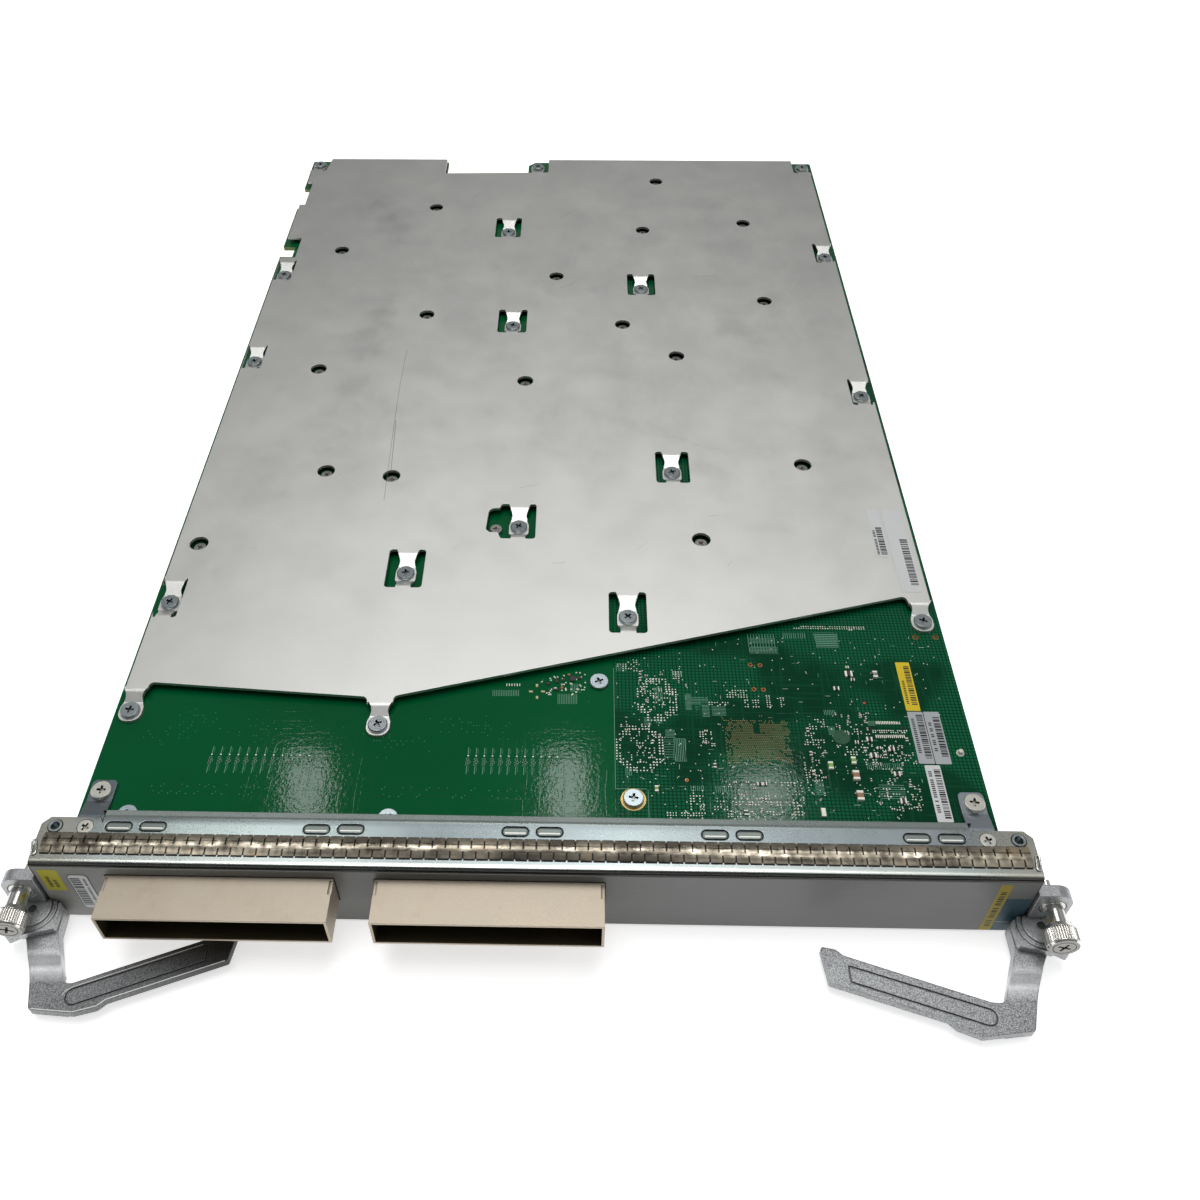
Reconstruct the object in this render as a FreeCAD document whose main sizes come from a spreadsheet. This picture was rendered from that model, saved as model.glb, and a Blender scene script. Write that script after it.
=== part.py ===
import FreeCAD, Part
import math
import os
import Sketcher

# Line card, lying with the solder side of its main board up.
# Local build frame: x along the faceplate, y = 0 on the faceplate's front
# plane and growing towards the backplane, z = 0 on the upper board face.
# Every sub-part is then placed so that the row's origin is the bottom
# centre of the whole card.  All sizes in millimetres.

V = FreeCAD.Vector
ROT0 = FreeCAD.Rotation()

doc = FreeCAD.newDocument("line_card")
sheet = doc.addObject("Spreadsheet::Sheet", "sizes")

CELLS = [
    ("y_shift", "-254.97"), ("z_shift", "35.5"),
    # main board
    ("board_w", "349.5"), ("board_back", "550.5"), ("board_front", "3.2"), ("board_t", "2.4"),
    ("board_hole", "4.3"),
    # aluminium cover over the solder side
    ("cover_t", "1.5"), ("cover_z", "2.8"), ("cover_side", "172.0"), ("cover_back", "546.3"),
    ("access_d", "8.7"), ("tab_hole", "4.4"),
    # faceplate channel
    ("face_len", "370"), ("face_top", "4.5"), ("face_bottom", "-35.5"), ("face_t", "1.6"),
    ("flange_end", "19.8"), ("lip_back", "22.6"), ("lip_half", "163.9"),
    ("overlay_t", "0.4"), ("overlay_top", "2.4"),
    ("slot_len", "10.4"), ("slot_w", "4.5"),
    # gasket strip
    ("gasket_x", "182.3"), ("gasket_front", "4.0"), ("gasket_back", "12.9"), ("gasket_h", "1.3"),
    # module cages
    ("cage_w", "84.6"), ("cage_top", "-2.4"), ("cage_drop", "15.6"), ("cage_wall", "1.0"),
    ("cage_out", "17.5"), ("cage_in", "62"), ("cage_a", "-115.55"), ("cage_b", "-15.77"),
    # captive screws and their brackets
    ("knob_x", "191.9"), ("knob_z", "-12.5"), ("knob_r", "6.0"), ("knob_face", "-17.5"),
    ("knob_back", "-9.4"), ("thread_r", "1.95"), ("thread_tip", "9.0"), ("shank_r", "1.45"),
    ("ferrule_r", "3.7"), ("ferrule_bore", "3.05"), ("plate_front", "-1.9"), ("plate_back", "2.6"),
    ("pivot_x", "189.6"), ("pivot_y", "-4.6"), ("pin_r", "1.6"), ("pin_bore", "1.65"),
    ("ledge_top", "-21.0"), ("ledge_t", "3.0"), ("ledge_r", "8.8"),
    ("hub_top", "-24.3"), ("lever_bottom", "-31.5"), ("lever_arm", "-25.0"), ("lever_low", "-27.5"),
    ("left_angle", "1.6"), ("right_angle", "1.7"),
    # corner brackets
    ("corner_t", "1.2"), ("corner_w", "9.8"),
    # heat sinks and packages
    ("sink_w", "61"), ("sink_base", "4.0"), ("sink_bottom", "-33.0"), ("fin_t", "1.1"), ("fin_pitch", "4.27"),
    ("fin_count", "14"), ("chip_t", "2.8"), ("chip_w", "42"),
    # rear connectors
    ("conn_front", "533"), ("conn_back", "553.5"),
]
for row, (alias, value) in enumerate(CELLS, start=1):
    sheet.set("A%d" % row, alias)
    sheet.set("B%d" % row, value)
    sheet.setAlias("B%d" % row, alias)
doc.recompute()


def num(alias):
    return float(sheet.get(alias))


Y0 = num("y_shift")
Z0 = num("z_shift")
PARTS = []


def place(obj, x=0.0, y=0.0, z=0.0, rot=ROT0):
    obj.Placement = FreeCAD.Placement(V(x, y + Y0, z + Z0), rot)


# ---- outline helpers ------------------------------------------------------
def loop(points):
    """Closed outline from (x, y) or (x, y, corner radius) points."""
    n = len(points)
    ends = []
    curves = []
    for i in range(n):
        bx, by = points[i][0], points[i][1]
        r = points[i][2] if len(points[i]) > 2 else 0.0
        if r <= 0:
            ends.append((V(bx, by, 0), V(bx, by, 0), None))
            continue
        a = V(points[i - 1][0] - bx, points[i - 1][1] - by, 0)
        c = V(points[(i + 1) % n][0] - bx, points[(i + 1) % n][1] - by, 0)
        a.normalize()
        c.normalize()
        phi = a.getAngle(c)
        t = r / math.tan(phi / 2)
        mid = a + c
        if mid.Length < 1e-4:
            ends.append((V(bx, by, 0), V(bx, by, 0), None))
            continue
        mid.normalize()
        b = V(bx, by, 0)
        centre = b + mid * (r / math.sin(phi / 2))
        p1 = b + a * t
        p2 = b + c * t
        a1 = math.atan2(p1.y - centre.y, p1.x - centre.x)
        a2 = math.atan2(p2.y - centre.y, p2.x - centre.x)
        if a.cross(c).z > 0:
            a1, a2 = a2, a1
        while a2 < a1:
            a2 += 2 * math.pi
        if a2 - a1 > math.pi:
            a1, a2 = a2, a1 + 2 * math.pi
        arc = Part.ArcOfCircle(Part.Circle(centre, V(0, 0, 1), r), a1, a2)
        ends.append((p1, p2, arc))
    for i in range(n):
        if ends[i][2] is not None:
            curves.append(ends[i][2])
        p, q = ends[i][1], ends[(i + 1) % n][0]
        if p.distanceToPoint(q) > 1e-6:
            curves.append(Part.LineSegment(p, q))
    return curves


def wire(points):
    edges = Part.__sortEdges__([c.toShape() for c in loop(points)])
    return Part.Wire(edges)


def slab(points, z0, z1):
    """Outline in XY, from z0 up to z1."""
    f = Part.Face(wire(points))
    f.translate(V(0, 0, z0))
    return f.extrude(V(0, 0, z1 - z0))


def section_yz(points, x0, x1):
    """Outline given as (y, z), extruded along X from x0 to x1."""
    f = Part.Face(wire(points))
    f.Placement = FreeCAD.Placement(V(x0, 0, 0), FreeCAD.Rotation(V(1, 1, 1), 120))
    return f.extrude(V(x1 - x0, 0, 0))


def section_xz(points, y0, y1):
    """Outline given as (x, z), extruded along Y from y0 to y1."""
    f = Part.Face(wire(points))
    f.Placement = FreeCAD.Placement(V(0, y0, 0), FreeCAD.Rotation(V(1, 0, 0), 90))
    return f.extrude(V(0, y1 - y0, 0))


def box(x0, x1, y0, y1, z0, z1):
    return Part.makeBox(x1 - x0, y1 - y0, z1 - z0, V(x0, y0, z0))


def rod(x, y, z0, z1, r):
    return Part.makeCylinder(r, z1 - z0, V(x, y, z0))


def rod_y(x, z, y0, y1, r):
    return Part.makeCylinder(r, y1 - y0, V(x, y0, z), V(0, 1, 0))


def mirror_x(shape):
    return shape.mirror(V(0, 0, 0), V(1, 0, 0))


# ---- PartDesign helpers ---------------------------------------------------
def new_body(label):
    b = doc.addObject("PartDesign::Body", label)
    b.Label = label
    return b


def new_sketch(b, role, name, lift=0.0):
    base = [f for f in b.Origin.OriginFeatures if f.Role == role][0]
    sk = b.newObject("Sketcher::SketchObject", name)
    sk.AttachmentSupport = [(base, "")]
    sk.MapMode = "FlatFace"
    sk.AttachmentOffset = FreeCAD.Placement(V(0, 0, lift), ROT0)
    return sk


def near(curve, which):
    s = curve.StartPoint if which == 1 else curve.EndPoint
    return s


def draw(sk, points):
    """Adds a closed outline to a sketch, its neighbours joined end to end."""
    curves = loop(points)
    ids = [sk.addGeometry(c, False) for c in curves]
    k = len(curves)
    for i in range(k):
        a, b = curves[i], curves[(i + 1) % k]
        best = None
        for ea in (1, 2):
            for eb in (1, 2):
                d = near(a, ea).distanceToPoint(near(b, eb))
                if best is None or d < best[0]:
                    best = (d, ea, eb)
        sk.addConstraint(Sketcher.Constraint("Coincident", ids[i], best[1], ids[(i + 1) % k], best[2]))
    return ids


def rect(sk, x0, y0, w, h):
    """A rectangle whose corner and sizes are expressions of the sheet."""
    pts = [V(0, 0, 0), V(10, 0, 0), V(10, 10, 0), V(0, 10, 0)]
    g = [sk.addGeometry(Part.LineSegment(pts[i], pts[(i + 1) % 4]), False) for i in range(4)]
    for i in range(4):
        sk.addConstraint(Sketcher.Constraint("Coincident", g[i], 2, g[(i + 1) % 4], 1))
    for i in (0, 2):
        sk.addConstraint(Sketcher.Constraint("Horizontal", g[i]))
    for i in (1, 3):
        sk.addConstraint(Sketcher.Constraint("Vertical", g[i]))
    for con, exp in (
        (Sketcher.Constraint("DistanceX", g[0], 1, g[0], 2, 10.0), w),
        (Sketcher.Constraint("DistanceY", g[1], 1, g[1], 2, 10.0), h),
        (Sketcher.Constraint("DistanceX", -1, 1, g[0], 1, 1.0), x0),
        (Sketcher.Constraint("DistanceY", -1, 1, g[0], 1, 1.0), y0),
    ):
        i = sk.addConstraint(con)
        sk.setExpression("Constraints[%d]" % i, exp)


def circles(sk, centres, radius_exp, radius):
    """Equal circles; the first one's radius is bound to the sheet."""
    first = None
    for x, y in centres:
        g = sk.addGeometry(Part.Circle(V(x, y, 0), V(0, 0, 1), radius), False)
        sk.addConstraint(Sketcher.Constraint("DistanceX", -1, 1, g, 3, x))
        sk.addConstraint(Sketcher.Constraint("DistanceY", -1, 1, g, 3, y))
        if first is None:
            first = g
            i = sk.addConstraint(Sketcher.Constraint("Radius", g, radius))
            sk.setExpression("Constraints[%d]" % i, radius_exp)
        else:
            sk.addConstraint(Sketcher.Constraint("Equal", first, g))


def pad(b, sk, name, length, down=False, middle=False):
    p = b.newObject("PartDesign::Pad", name)
    p.Profile = sk
    p.setExpression("Length", length)
    p.Reversed = down
    if middle:
        p.Midplane = True
    return p


def pocket(b, sk, name, length, up=False, middle=False):
    p = b.newObject("PartDesign::Pocket", name)
    p.Profile = sk
    p.setExpression("Length", length)
    p.Reversed = up
    if middle:
        p.Midplane = True
    return p


def keep(obj, label=None):
    if label:
        obj.Label = label
    PARTS.append(obj)
    return obj


def feature(label, shape, x=0.0, y=0.0, z=0.0, rot=ROT0):
    o = doc.addObject("Part::Feature", label)
    o.Label = label
    own = shape.Placement
    o.Shape = shape
    place(o, x, y, z, rot)
    o.Placement = o.Placement.multiply(own)
    return keep(o)


def solids(shapes):
    return Part.makeCompound(shapes)


# ---- positions read from the card ----------------------------------------
# screws that clamp the cover's bridges and tabs to the board
BRIDGES = [  # x, y of the screw, slot y0, slot y1, slot x0, slot x1
    (-31.8, 451.6, 442.2, 466.1, -40.1, -23.7),
    (51.3, 386.4, 377.0, 399.9, 43.0, 59.6),
    (-24.0, 346.9, 337.6, 360.6, -32.5, -15.9),
    (61.8, 220.6, 211.0, 234.3, 53.6, 70.3),
    (-13.0, 180.8, 171.0, 194.5, -21.3, -4.9),
    (-63.4, 149.8, 139.2, 163.0, -72.0, -55.0),
    (37.6, 124.7, 114.0, 137.8, 29.2, 45.9),
]
EDGE_BRIDGES = [  # screw x, y, slot y0, y1
    (-166.8, 399.3, 390.6, 413.5),
    (-166.6, 310.5, 301.7, 323.9),
    (-166.9, 130.3, 119.8, 143.6),
    (166.8, 423.4, 414.2, 436.6),
    (166.2, 283.6, 273.8, 296.4),
]
FRONT_TABS = [(-167.8, 70.9, 81.2), (-65.1, 65.5, 75.6), (166.8, 124.2, 134.4)]
REAR_TABS = [(-168.4, 541.2), (-15.9, 539.7), (167.6, 540.3)]
SINKS = [  # centre x, y, half spacing x, half spacing y, handed diagonal
    (-108.0, 452.2, 27.1, 27.1, 1), (-101.7, 328.3, 27.1, 27.1, 1), (92.2, 488.5, 27.1, 27.4, -1),
    (27.2, 424.3, 27.0, 27.4, 1), (12.5, 319.4, 27.0, 27.0, 1), (96.2, 343.9, 27.3, 27.7, 1),
    (100.0, 198.5, 27.1, 26.8, 1), (-136.3, 191.4, 25.6, 25.9, 1), (-50.8, 197.0, 26.9, 17.0, -1),
]
ACCESS = [
    (-80.9, 479.3), (-135.1, 425.2), (0.2, 396.9), (-74.5, 355.0), (-128.8, 301.5), (-14.5, 292.3),
    (-110.8, 217.3), (-77.7, 214.0), (-161.9, 165.5), (65.2, 516.0), (54.2, 451.8), (39.4, 346.4),
    (68.8, 316.2), (119.3, 461.1), (123.5, 371.6), (127.1, 225.3), (72.9, 171.7),
]
SINK_SCREWS = ACCESS + [(-23.9, 180.0)]
BOARD_SCREWS = [(-155.58, 23.3), (-55.8, 23.3), (37.8, 33.6), (24.8, 89.9)]
CORNER_SCREWS = [(-168.0, 32.9), (167.8, 32.9)]
COVER_SCREWS = (
    [(b[0], b[1]) for b in BRIDGES] + [(b[0], b[1]) for b in EDGE_BRIDGES]
    + [(b[0], b[1]) for b in FRONT_TABS] + REAR_TABS
)

# ---- main board -----------------------------------------------------------
board = new_body("main_board")
hw = num("board_w") / 2
bf, bb = num("board_front"), num("board_back")
sk = new_sketch(board, "XY_Plane", "board_outline")
draw(sk, [
    (-hw, bf), (hw, bf), (hw, bb, 1.5), (-18.0, bb, 1.0), (-22.5, 546.0, 2.0), (-22.5, 528.0, 2.5), (-79.0, 528.0, 2.5),
    (-79.0, bb, 1.0), (-hw, bb, 1.5), (-hw, 511.0, 0.8), (-170.6, 511.0, 0.8), (-170.6, 484.0, 0.8), (-hw, 484.0, 0.8),
    (-hw, 435.5, 0.8), (-167.0, 435.5, 0.8), (-167.0, 424.0, 0.8), (-hw, 424.0, 0.8),
])
pad(board, sk, "board_sheet", "sizes.board_t", down=True)
sk = new_sketch(board, "XY_Plane", "board_holes")
circles(sk, COVER_SCREWS + SINK_SCREWS + BOARD_SCREWS + CORNER_SCREWS, "sizes.board_hole / 2", 2.15)
pocket(board, sk, "board_drilling", "sizes.board_t + 1")
sk = new_sketch(board, "XY_Plane", "board_tooling")
circles(sk, [(162.6, 117.1), (171.3, 117.2)], "1.1", 1.1)
pocket(board, sk, "board_tooling_holes", "sizes.board_t + 1")
place(board)
keep(board)


# ---- back cover -----------------------------------------------------------
def tab_form(x, y, y_root, towards_back, root_w, waist_w, pad_w):
    """A pressed tab: it leaves the sheet at y_root, ramps down and lies on the
    board under its screw at (x, y).  towards_back tells which way it points."""
    t, zc = num("cover_t"), num("cover_z")
    k = 1.0 if towards_back else -1.0
    gap = abs(y - y_root)
    ramp = min(gap - 5.85, 5.2)
    flat = 0.9
    r1, r2 = 1.0, 1.0 + t
    y0 = y_root - k * 0.6
    ya = y_root + k * flat
    yb = y_root + k * (flat + ramp)
    y_end = y + k * 4.8
    low = [(y0, zc), (ya, zc, r1), (yb, 0.0, r2), (y_end, 0.0)]
    high = [(y_end, t), (yb + k * 0.55, t, r1), (ya + k * 0.55, zc + t, r2), (y0, zc + t)]
    prof = section_yz(low + high, x - 12, x + 12)
    hr, hwst, hp = root_w / 2, waist_w / 2, pad_w / 2
    pts = [
        (x - hr - 0.8, y_root - k * 0.6), (x - hr, y_root + k * 0.5, 0.8),
        (x - hwst, y_root + k * (flat + ramp * 0.55), 3.0), (x - hp, y - k * 2.0, 2.5), (x - hp, y_end, 4.2),
        (x + hp, y_end, 4.2), (x + hp, y - k * 2.0, 2.5), (x + hwst, y_root + k * (flat + ramp * 0.55), 3.0),
        (x + hr, y_root + k * 0.5, 0.8), (x + hr + 0.8, y_root - k * 0.6),
    ]
    plan = slab(pts, -1, 8)
    return prof.common(plan)


def bridge_form(x, y, y0, y1):
    """A bridge: both ends of the tab run back into the sheet."""
    t, zc = num("cover_t"), num("cover_z")
    rb = (y1 - (y + 5.0)) * 0.76
    rf = ((y - 4.9) - y0) * 0.84
    yb_low, yb_high = y + 5.0, y + 5.0 + rb
    yf_low, yf_high = y - 4.9, y - 4.9 - rf
    low = [(y0 - 0.6, zc), (yf_high, zc, 0.9), (yf_low, 0.0, 0.9 + t), (yb_low, 0.0, 0.9 + t), (yb_high, zc, 0.9), (y1 + 0.6, zc)]
    high = [(y1 + 0.6, zc + t), (yb_high - 0.55, zc + t, 0.9 + t), (yb_low - 0.55, t, 0.9), (yf_low + 0.55, t, 0.9), (yf_high + 0.55, zc + t, 0.9 + t), (y0 - 0.6, zc + t)]
    prof = section_yz(low + high, x - 9, x + 9)
    w_back, w_waist, w_pad, w_front = 5.0, 3.3, 4.7, 3.4
    half = [
        (w_back + 0.7, y1 + 0.6), (w_back, y1 - 0.6, 0.6), (w_waist, yb_low + rb * 0.35, 3.0),
        (w_pad, y + 1.6, 2.4), (w_pad, y - 3.4, 2.6), (w_front, yf_low - rf * 0.3, 1.5), (w_front, y0 + 0.6, 0.4), (w_front + 0.5, y0 - 0.6),
    ]
    right = [((x + p[0],) + p[1:]) for p in half]
    left = [((x - p[0],) + p[1:]) for p in reversed(half)]
    plan = slab(right + left, -1, 8)
    return prof.common(plan)


cover = new_body("cover_sheet")
cs, cb = num("cover_side"), num("cover_back")
outline = [
    # front outline, left to right
    (-cs, 81.2, 0.8), (-cs, 76.0), (-163.4, 76.0), (-162.4, 84.0, 2.2), (-71.0, 77.9, 2.4), (-70.0, 72.0), (-60.4, 72.0), (-59.7, 78.5, 2.2),
    (161.2, 137.3, 2.0), (162.4, 131.0), (171.4, 131.0), (cs - 0.3, 136.0, 1.0),
    # right side with the open notches of the edge bridges
    (cs - 0.3, 276.2, 0.4), (170.9, 276.2, 0.4), (170.9, 294.9, 0.4), (cs - 0.3, 294.9, 0.4),
    (cs - 0.3, 416.4, 0.4), (170.9, 416.4, 0.4), (170.9, 434.7, 0.4), (cs - 0.3, 434.7, 0.4),
    (cs - 0.3, 529.2, 0.8), (160.4, 529.2, 1.2), (160.4, cb, 0.8),
    (-8.3, cb, 0.8), (-8.3, 528.0, 1.2), (-79.5, 526.2, 1.5), (-79.5, cb, 0.8), (-160.2, cb, 0.8), (-162.4, 529.2, 1.2), (-cs, 529.2, 0.8),
    (-cs, 512.8, 0.6), (-168.4, 512.8, 0.6), (-168.4, 482.0, 0.6), (-cs, 482.0, 0.6),
    (-cs, 440.0, 0.6), (-163.0, 440.0, 0.6), (-163.0, 416.4, 0.6), (-cs, 416.4, 0.6),
    (-cs, 139.0, 0.4), (-171.2, 139.0, 0.4), (-171.2, 123.0, 0.4), (-cs, 123.0, 0.4),
]
sk = new_sketch(cover, "XY_Plane", "cover_outline", num("cover_z"))
draw(sk, outline)
pad(cover, sk, "cover_plate", "sizes.cover_t")
sk = new_sketch(cover, "XY_Plane", "cover_access", num("cover_z"))
circles(sk, ACCESS, "sizes.access_d / 2", 4.35)
pocket(cover, sk, "cover_access_holes", "sizes.cover_t + 1", up=True)


def slot_outline(x0, x1, y0, y1):
    return [(x0, y0, 1.6), (x1, y0, 1.6), (x1, y1, 1.6), (x0, y1, 1.6)]


sk = new_sketch(cover, "XY_Plane", "cover_slots", num("cover_z"))
for bx, by, s0, s1, x0, x1 in BRIDGES:
    if abs(bx + 13.0) < 0.1:
        # this slot opens into a window over a heat sink screw
        draw(sk, [(x0, s0, 1.6), (x1, s0, 1.6), (x1, s1, 1.6), (x0 - 0.4, s1, 1.6), (x0 - 1.2, 191.6, 0.8), (-27.6, 191.6, 3.4), (-28.6, 175.2, 3.0), (x0 - 1.2, 175.0, 1.0)])
    else:
        draw(sk, slot_outline(x0, x1, s0, s1))
for ex, ey, s0, s1 in EDGE_BRIDGES:
    if ex < 0:
        draw(sk, [(-171.9, s0 + 2.6, 0.8), (-171.4, s0, 1.0), (-161.2, s0, 1.6), (-161.2, s1, 1.6), (-171.4, s1, 1.0), (-171.9, s1 - 2.6, 0.8)])
    else:
        draw(sk, [(160.1, s0, 1.6), (170.6, s0, 1.0), (171.0, s0 + 2.6, 0.8), (171.0, s1 - 2.6, 0.8), (170.6, s1, 1.0), (160.1, s1, 1.6)])
pocket(cover, sk, "cover_bridge_slots", "sizes.cover_t + 1", up=True)

forms = []
for bx, by, s0, s1, x0, x1 in BRIDGES:
    forms.append(bridge_form(bx, by, s0, s1))
for ex, ey, s0, s1 in EDGE_BRIDGES:
    forms.append(bridge_form(ex, ey, s0, s1))
for fx, fy, root in FRONT_TABS:
    forms.append(tab_form(fx, fy, root - 0.0, False, 9.2, 6.4, 9.6))
for rx, ry in REAR_TABS:
    forms.append(tab_form(rx, ry, 529.0 if abs(rx) > 100 else 527.2, True, 8.0, 6.6, 9.0))
tool = doc.addObject("Part::Feature", "cover_pressed_forms")
# the front tab root strips are trimmed from the sheet and the forms joined on
trim = solids([
    box(-173, -162.6, 60, 80.6, -1, 8), box(-70.3, -60.1, 60, 75.2, -1, 8), box(162.2, 172.2, 110, 133.8, -1, 8),
])
tool.Shape = solids(forms)
trim_o = doc.addObject("Part::Feature", "cover_front_trim")
trim_o.Shape = trim
drill = doc.addObject("Part::Feature", "cover_screw_holes")
drill.Shape = solids([rod(x, y, -2, 8, num("tab_hole") / 2) for x, y in COVER_SCREWS])
doc.recompute()
plate_shape = cover.Shape.cut(trim)
joined = plate_shape.fuse(forms)
cover_cut = joined.cut(drill.Shape)
if len(cover_cut.Solids) != 1:
    raise RuntimeError("the cover is not one sheet")
feature("back_cover", cover_cut.Solids[0])

# ---- faceplate ------------------------------------------------------------
t = num("face_t")
top, low = num("face_top"), num("face_bottom")
fe, lb = num("flange_end"), num("lip_back")
face = new_body("faceplate_channel")
sk = new_sketch(face, "YZ_Plane", "channel_section")
draw(sk, [
    (0, low, 2.0), (fe, low, 0.5), (fe, low + t, 0.5), (t, low + t, 0.6),
    (t, top - t, 0.6), (fe, top - t, 0.5), (fe, top, 0.5), (0, top, 2.1),
])
p = pad(face, sk, "channel", "sizes.face_len", middle=True)
sk = new_sketch(face, "YZ_Plane", "lip_section")
draw(sk, [(fe - 3.0, top - t), (fe - 0.3, top - t, 1.0), (lb + 0.4, top - 2.05), (lb + 0.7, top - 0.6, 0.3), (fe, top, 1.5), (fe - 3.0, top)])
pad(face, sk, "rear_lip", "sizes.lip_half * 2", middle=True)
sk = new_sketch(face, "XZ_Plane", "cage_windows", 3.0)
for c in ("cage_a", "cage_b"):
    rect(sk, "sizes.%s - sizes.cage_w / 2 - 0.3" % c, "sizes.cage_top - sizes.cage_drop - 0.3", "sizes.cage_w + 0.6", "sizes.cage_drop + 0.6")
pocket(face, sk, "cage_cutouts", "8", middle=False)
doc.recompute()
slots = []
SLOT_X = [(-155.6, 15.8), (-142.8, 16.0), (-81.2, 15.9), (-68.4, 16.1), (-6.8, 16.2), (6.0, 16.2), (67.5, 16.1), (80.3, 16.1), (142.2, 15.9), (155.0, 15.9)]
sl, sw = num("slot_len"), num("slot_w")
for x, y in SLOT_X:
    slots.append(slab([(x - sl / 2, y - sw / 2, sw * 0.48), (x + sl / 2, y - sw / 2, sw * 0.48), (x + sl / 2, y + sw / 2, sw * 0.48), (x - sl / 2, y + sw / 2, sw * 0.48)], top - 0.9, top + 1))
cut_tools = solids(
    slots
    + [rod(s * 168.3, 15.6, top - t - 1, top + 1, 1.7) for s in (-1, 1)]
    + [rod(s * 179.5, 15.6, top - t - 1, top + 1, 2.25) for s in (-1, 1)]
    + [slab([(s * 162.2, 17.2), (s * 165.4, 23.0), (s * 162.2, 23.0)], top - 5, top + 1) for s in (-1, 1)]
    + [slab([(s * 181.2, 20.5), (s * 186, 20.5), (s * 186, 15.6)], top - t - 0.1, top + 1) for s in (-1, 1)]
)
countersink = solids([Part.makeCone(1.7, 3.1, 1.5, V(s * 168.3, 15.6, top - 1.5)) for s in (-1, 1)])
face_shape = face.Shape.cut(cut_tools).cut(countersink).removeSplitter()
feature("faceplate", face_shape)

overlay = new_body("faceplate_overlay")
sk = new_sketch(overlay, "XZ_Plane", "overlay_outline")
rect(sk, "-sizes.face_len / 2 + 0.8", "sizes.face_bottom + 1.6", "sizes.face_len - 1.6", "sizes.overlay_top - sizes.face_bottom - 1.6")
pad(overlay, sk, "overlay_sheet", "sizes.overlay_t")
sk = new_sketch(overlay, "XZ_Plane", "overlay_windows", 2.0)
for c in ("cage_a", "cage_b"):
    rect(sk, "sizes.%s - sizes.cage_w / 2 - 0.5" % c, "sizes.cage_top - sizes.cage_drop - 0.5", "sizes.cage_w + 1.0", "sizes.cage_drop + 1.0")
pocket(overlay, sk, "overlay_cutouts", "4")
place(overlay)
keep(overlay)

# gasket strip: an arched spring-finger strip clipped on the flange
gf, gb, gh = num("gasket_front"), num("gasket_back"), num("gasket_h")
gx = num("gasket_x")
arch = section_yz([(gf, top), (gb, top), (gb, top + 0.35, 0.0), (gb - 2.2, top + gh, 2.5), (gf + 2.0, top + gh, 2.5), (gf, top + 0.35)], -gx, gx)
feature("emi_gasket", arch)

# ---- module cages and their host connectors ------------------------------
for label, cell, side in (("module_cage_left", "cage_a", "left"), ("module_cage_right", "cage_b", "right")):
    cage = new_body(label)
    sk = new_sketch(cage, "XZ_Plane", label + "_outer", num("cage_out"))
    rect(sk, "-sizes.cage_w / 2", "sizes.cage_top - sizes.cage_drop", "sizes.cage_w", "sizes.cage_drop")
    pad(cage, sk, label + "_tube", "sizes.cage_out + sizes.cage_in", down=True)
    sk = new_sketch(cage, "XZ_Plane", label + "_inner", num("cage_out"))
    rect(sk, "-sizes.cage_w / 2 + sizes.cage_wall", "sizes.cage_top - sizes.cage_drop + sizes.cage_wall", "sizes.cage_w - 2 * sizes.cage_wall", "sizes.cage_drop - 2 * sizes.cage_wall")
    pocket(cage, sk, label + "_mouth", "sizes.cage_out + sizes.cage_in - sizes.cage_wall")
    sk = new_sketch(cage, "XY_Plane", label + "_fixing", num("cage_top"))
    circles(sk, [(-40.03, 23.3)], "1.95", 1.95)
    pocket(cage, sk, label + "_fixing_hole", "sizes.cage_wall")
    for k, (ea, eb) in enumerate((("-sizes.cage_w / 2 - 1", "2.3"), ("sizes.cage_w / 2 - 1.3", "2.3"))):
        sk = new_sketch(cage, "XY_Plane", label + "_ear_%d" % k, num("cage_top"))
        rect(sk, ea, "-6.6", eb, "5.4")
        pocket(cage, sk, label + "_ear_notch_%d" % k, "0.8")
    place(cage, x=num(cell))
    keep(cage)
    cx = num(cell)
    ct, cd, cw = num("cage_top"), num("cage_drop"), num("cage_wall")
    # the host connector stands on the cage's upper wall, its tongue slot facing forward
    zt = ct - cw
    blk = section_xz([(-24.0, zt - 10.6, 0.8), (24.0, zt - 10.6, 0.8), (24.0, zt, 0.0), (-24.0, zt, 0.0)], 42.0, 57.5)
    blk = blk.cut(box(-20.5, 20.5, 41, 52, zt - 7.2, zt - 3.6))
    ears = box(-28, -24, 47, 54, zt - 4.0, zt).fuse(box(24, 28, 47, 54, zt - 4.0, zt))
    feature("cage_connector_" + side, blk.fuse(ears).removeSplitter(), x=cx + 4.4)

# ---- ejector brackets -----------------------------------------------------
px, py = num("pivot_x"), num("pivot_y")
kx, kz = num("knob_x"), num("knob_z")
pf, pb = num("plate_front"), num("plate_back")
lt, ltk, lr = num("ledge_top"), num("ledge_t"), num("ledge_r")
x_in = num("face_len") / 2 + 0.05


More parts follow.
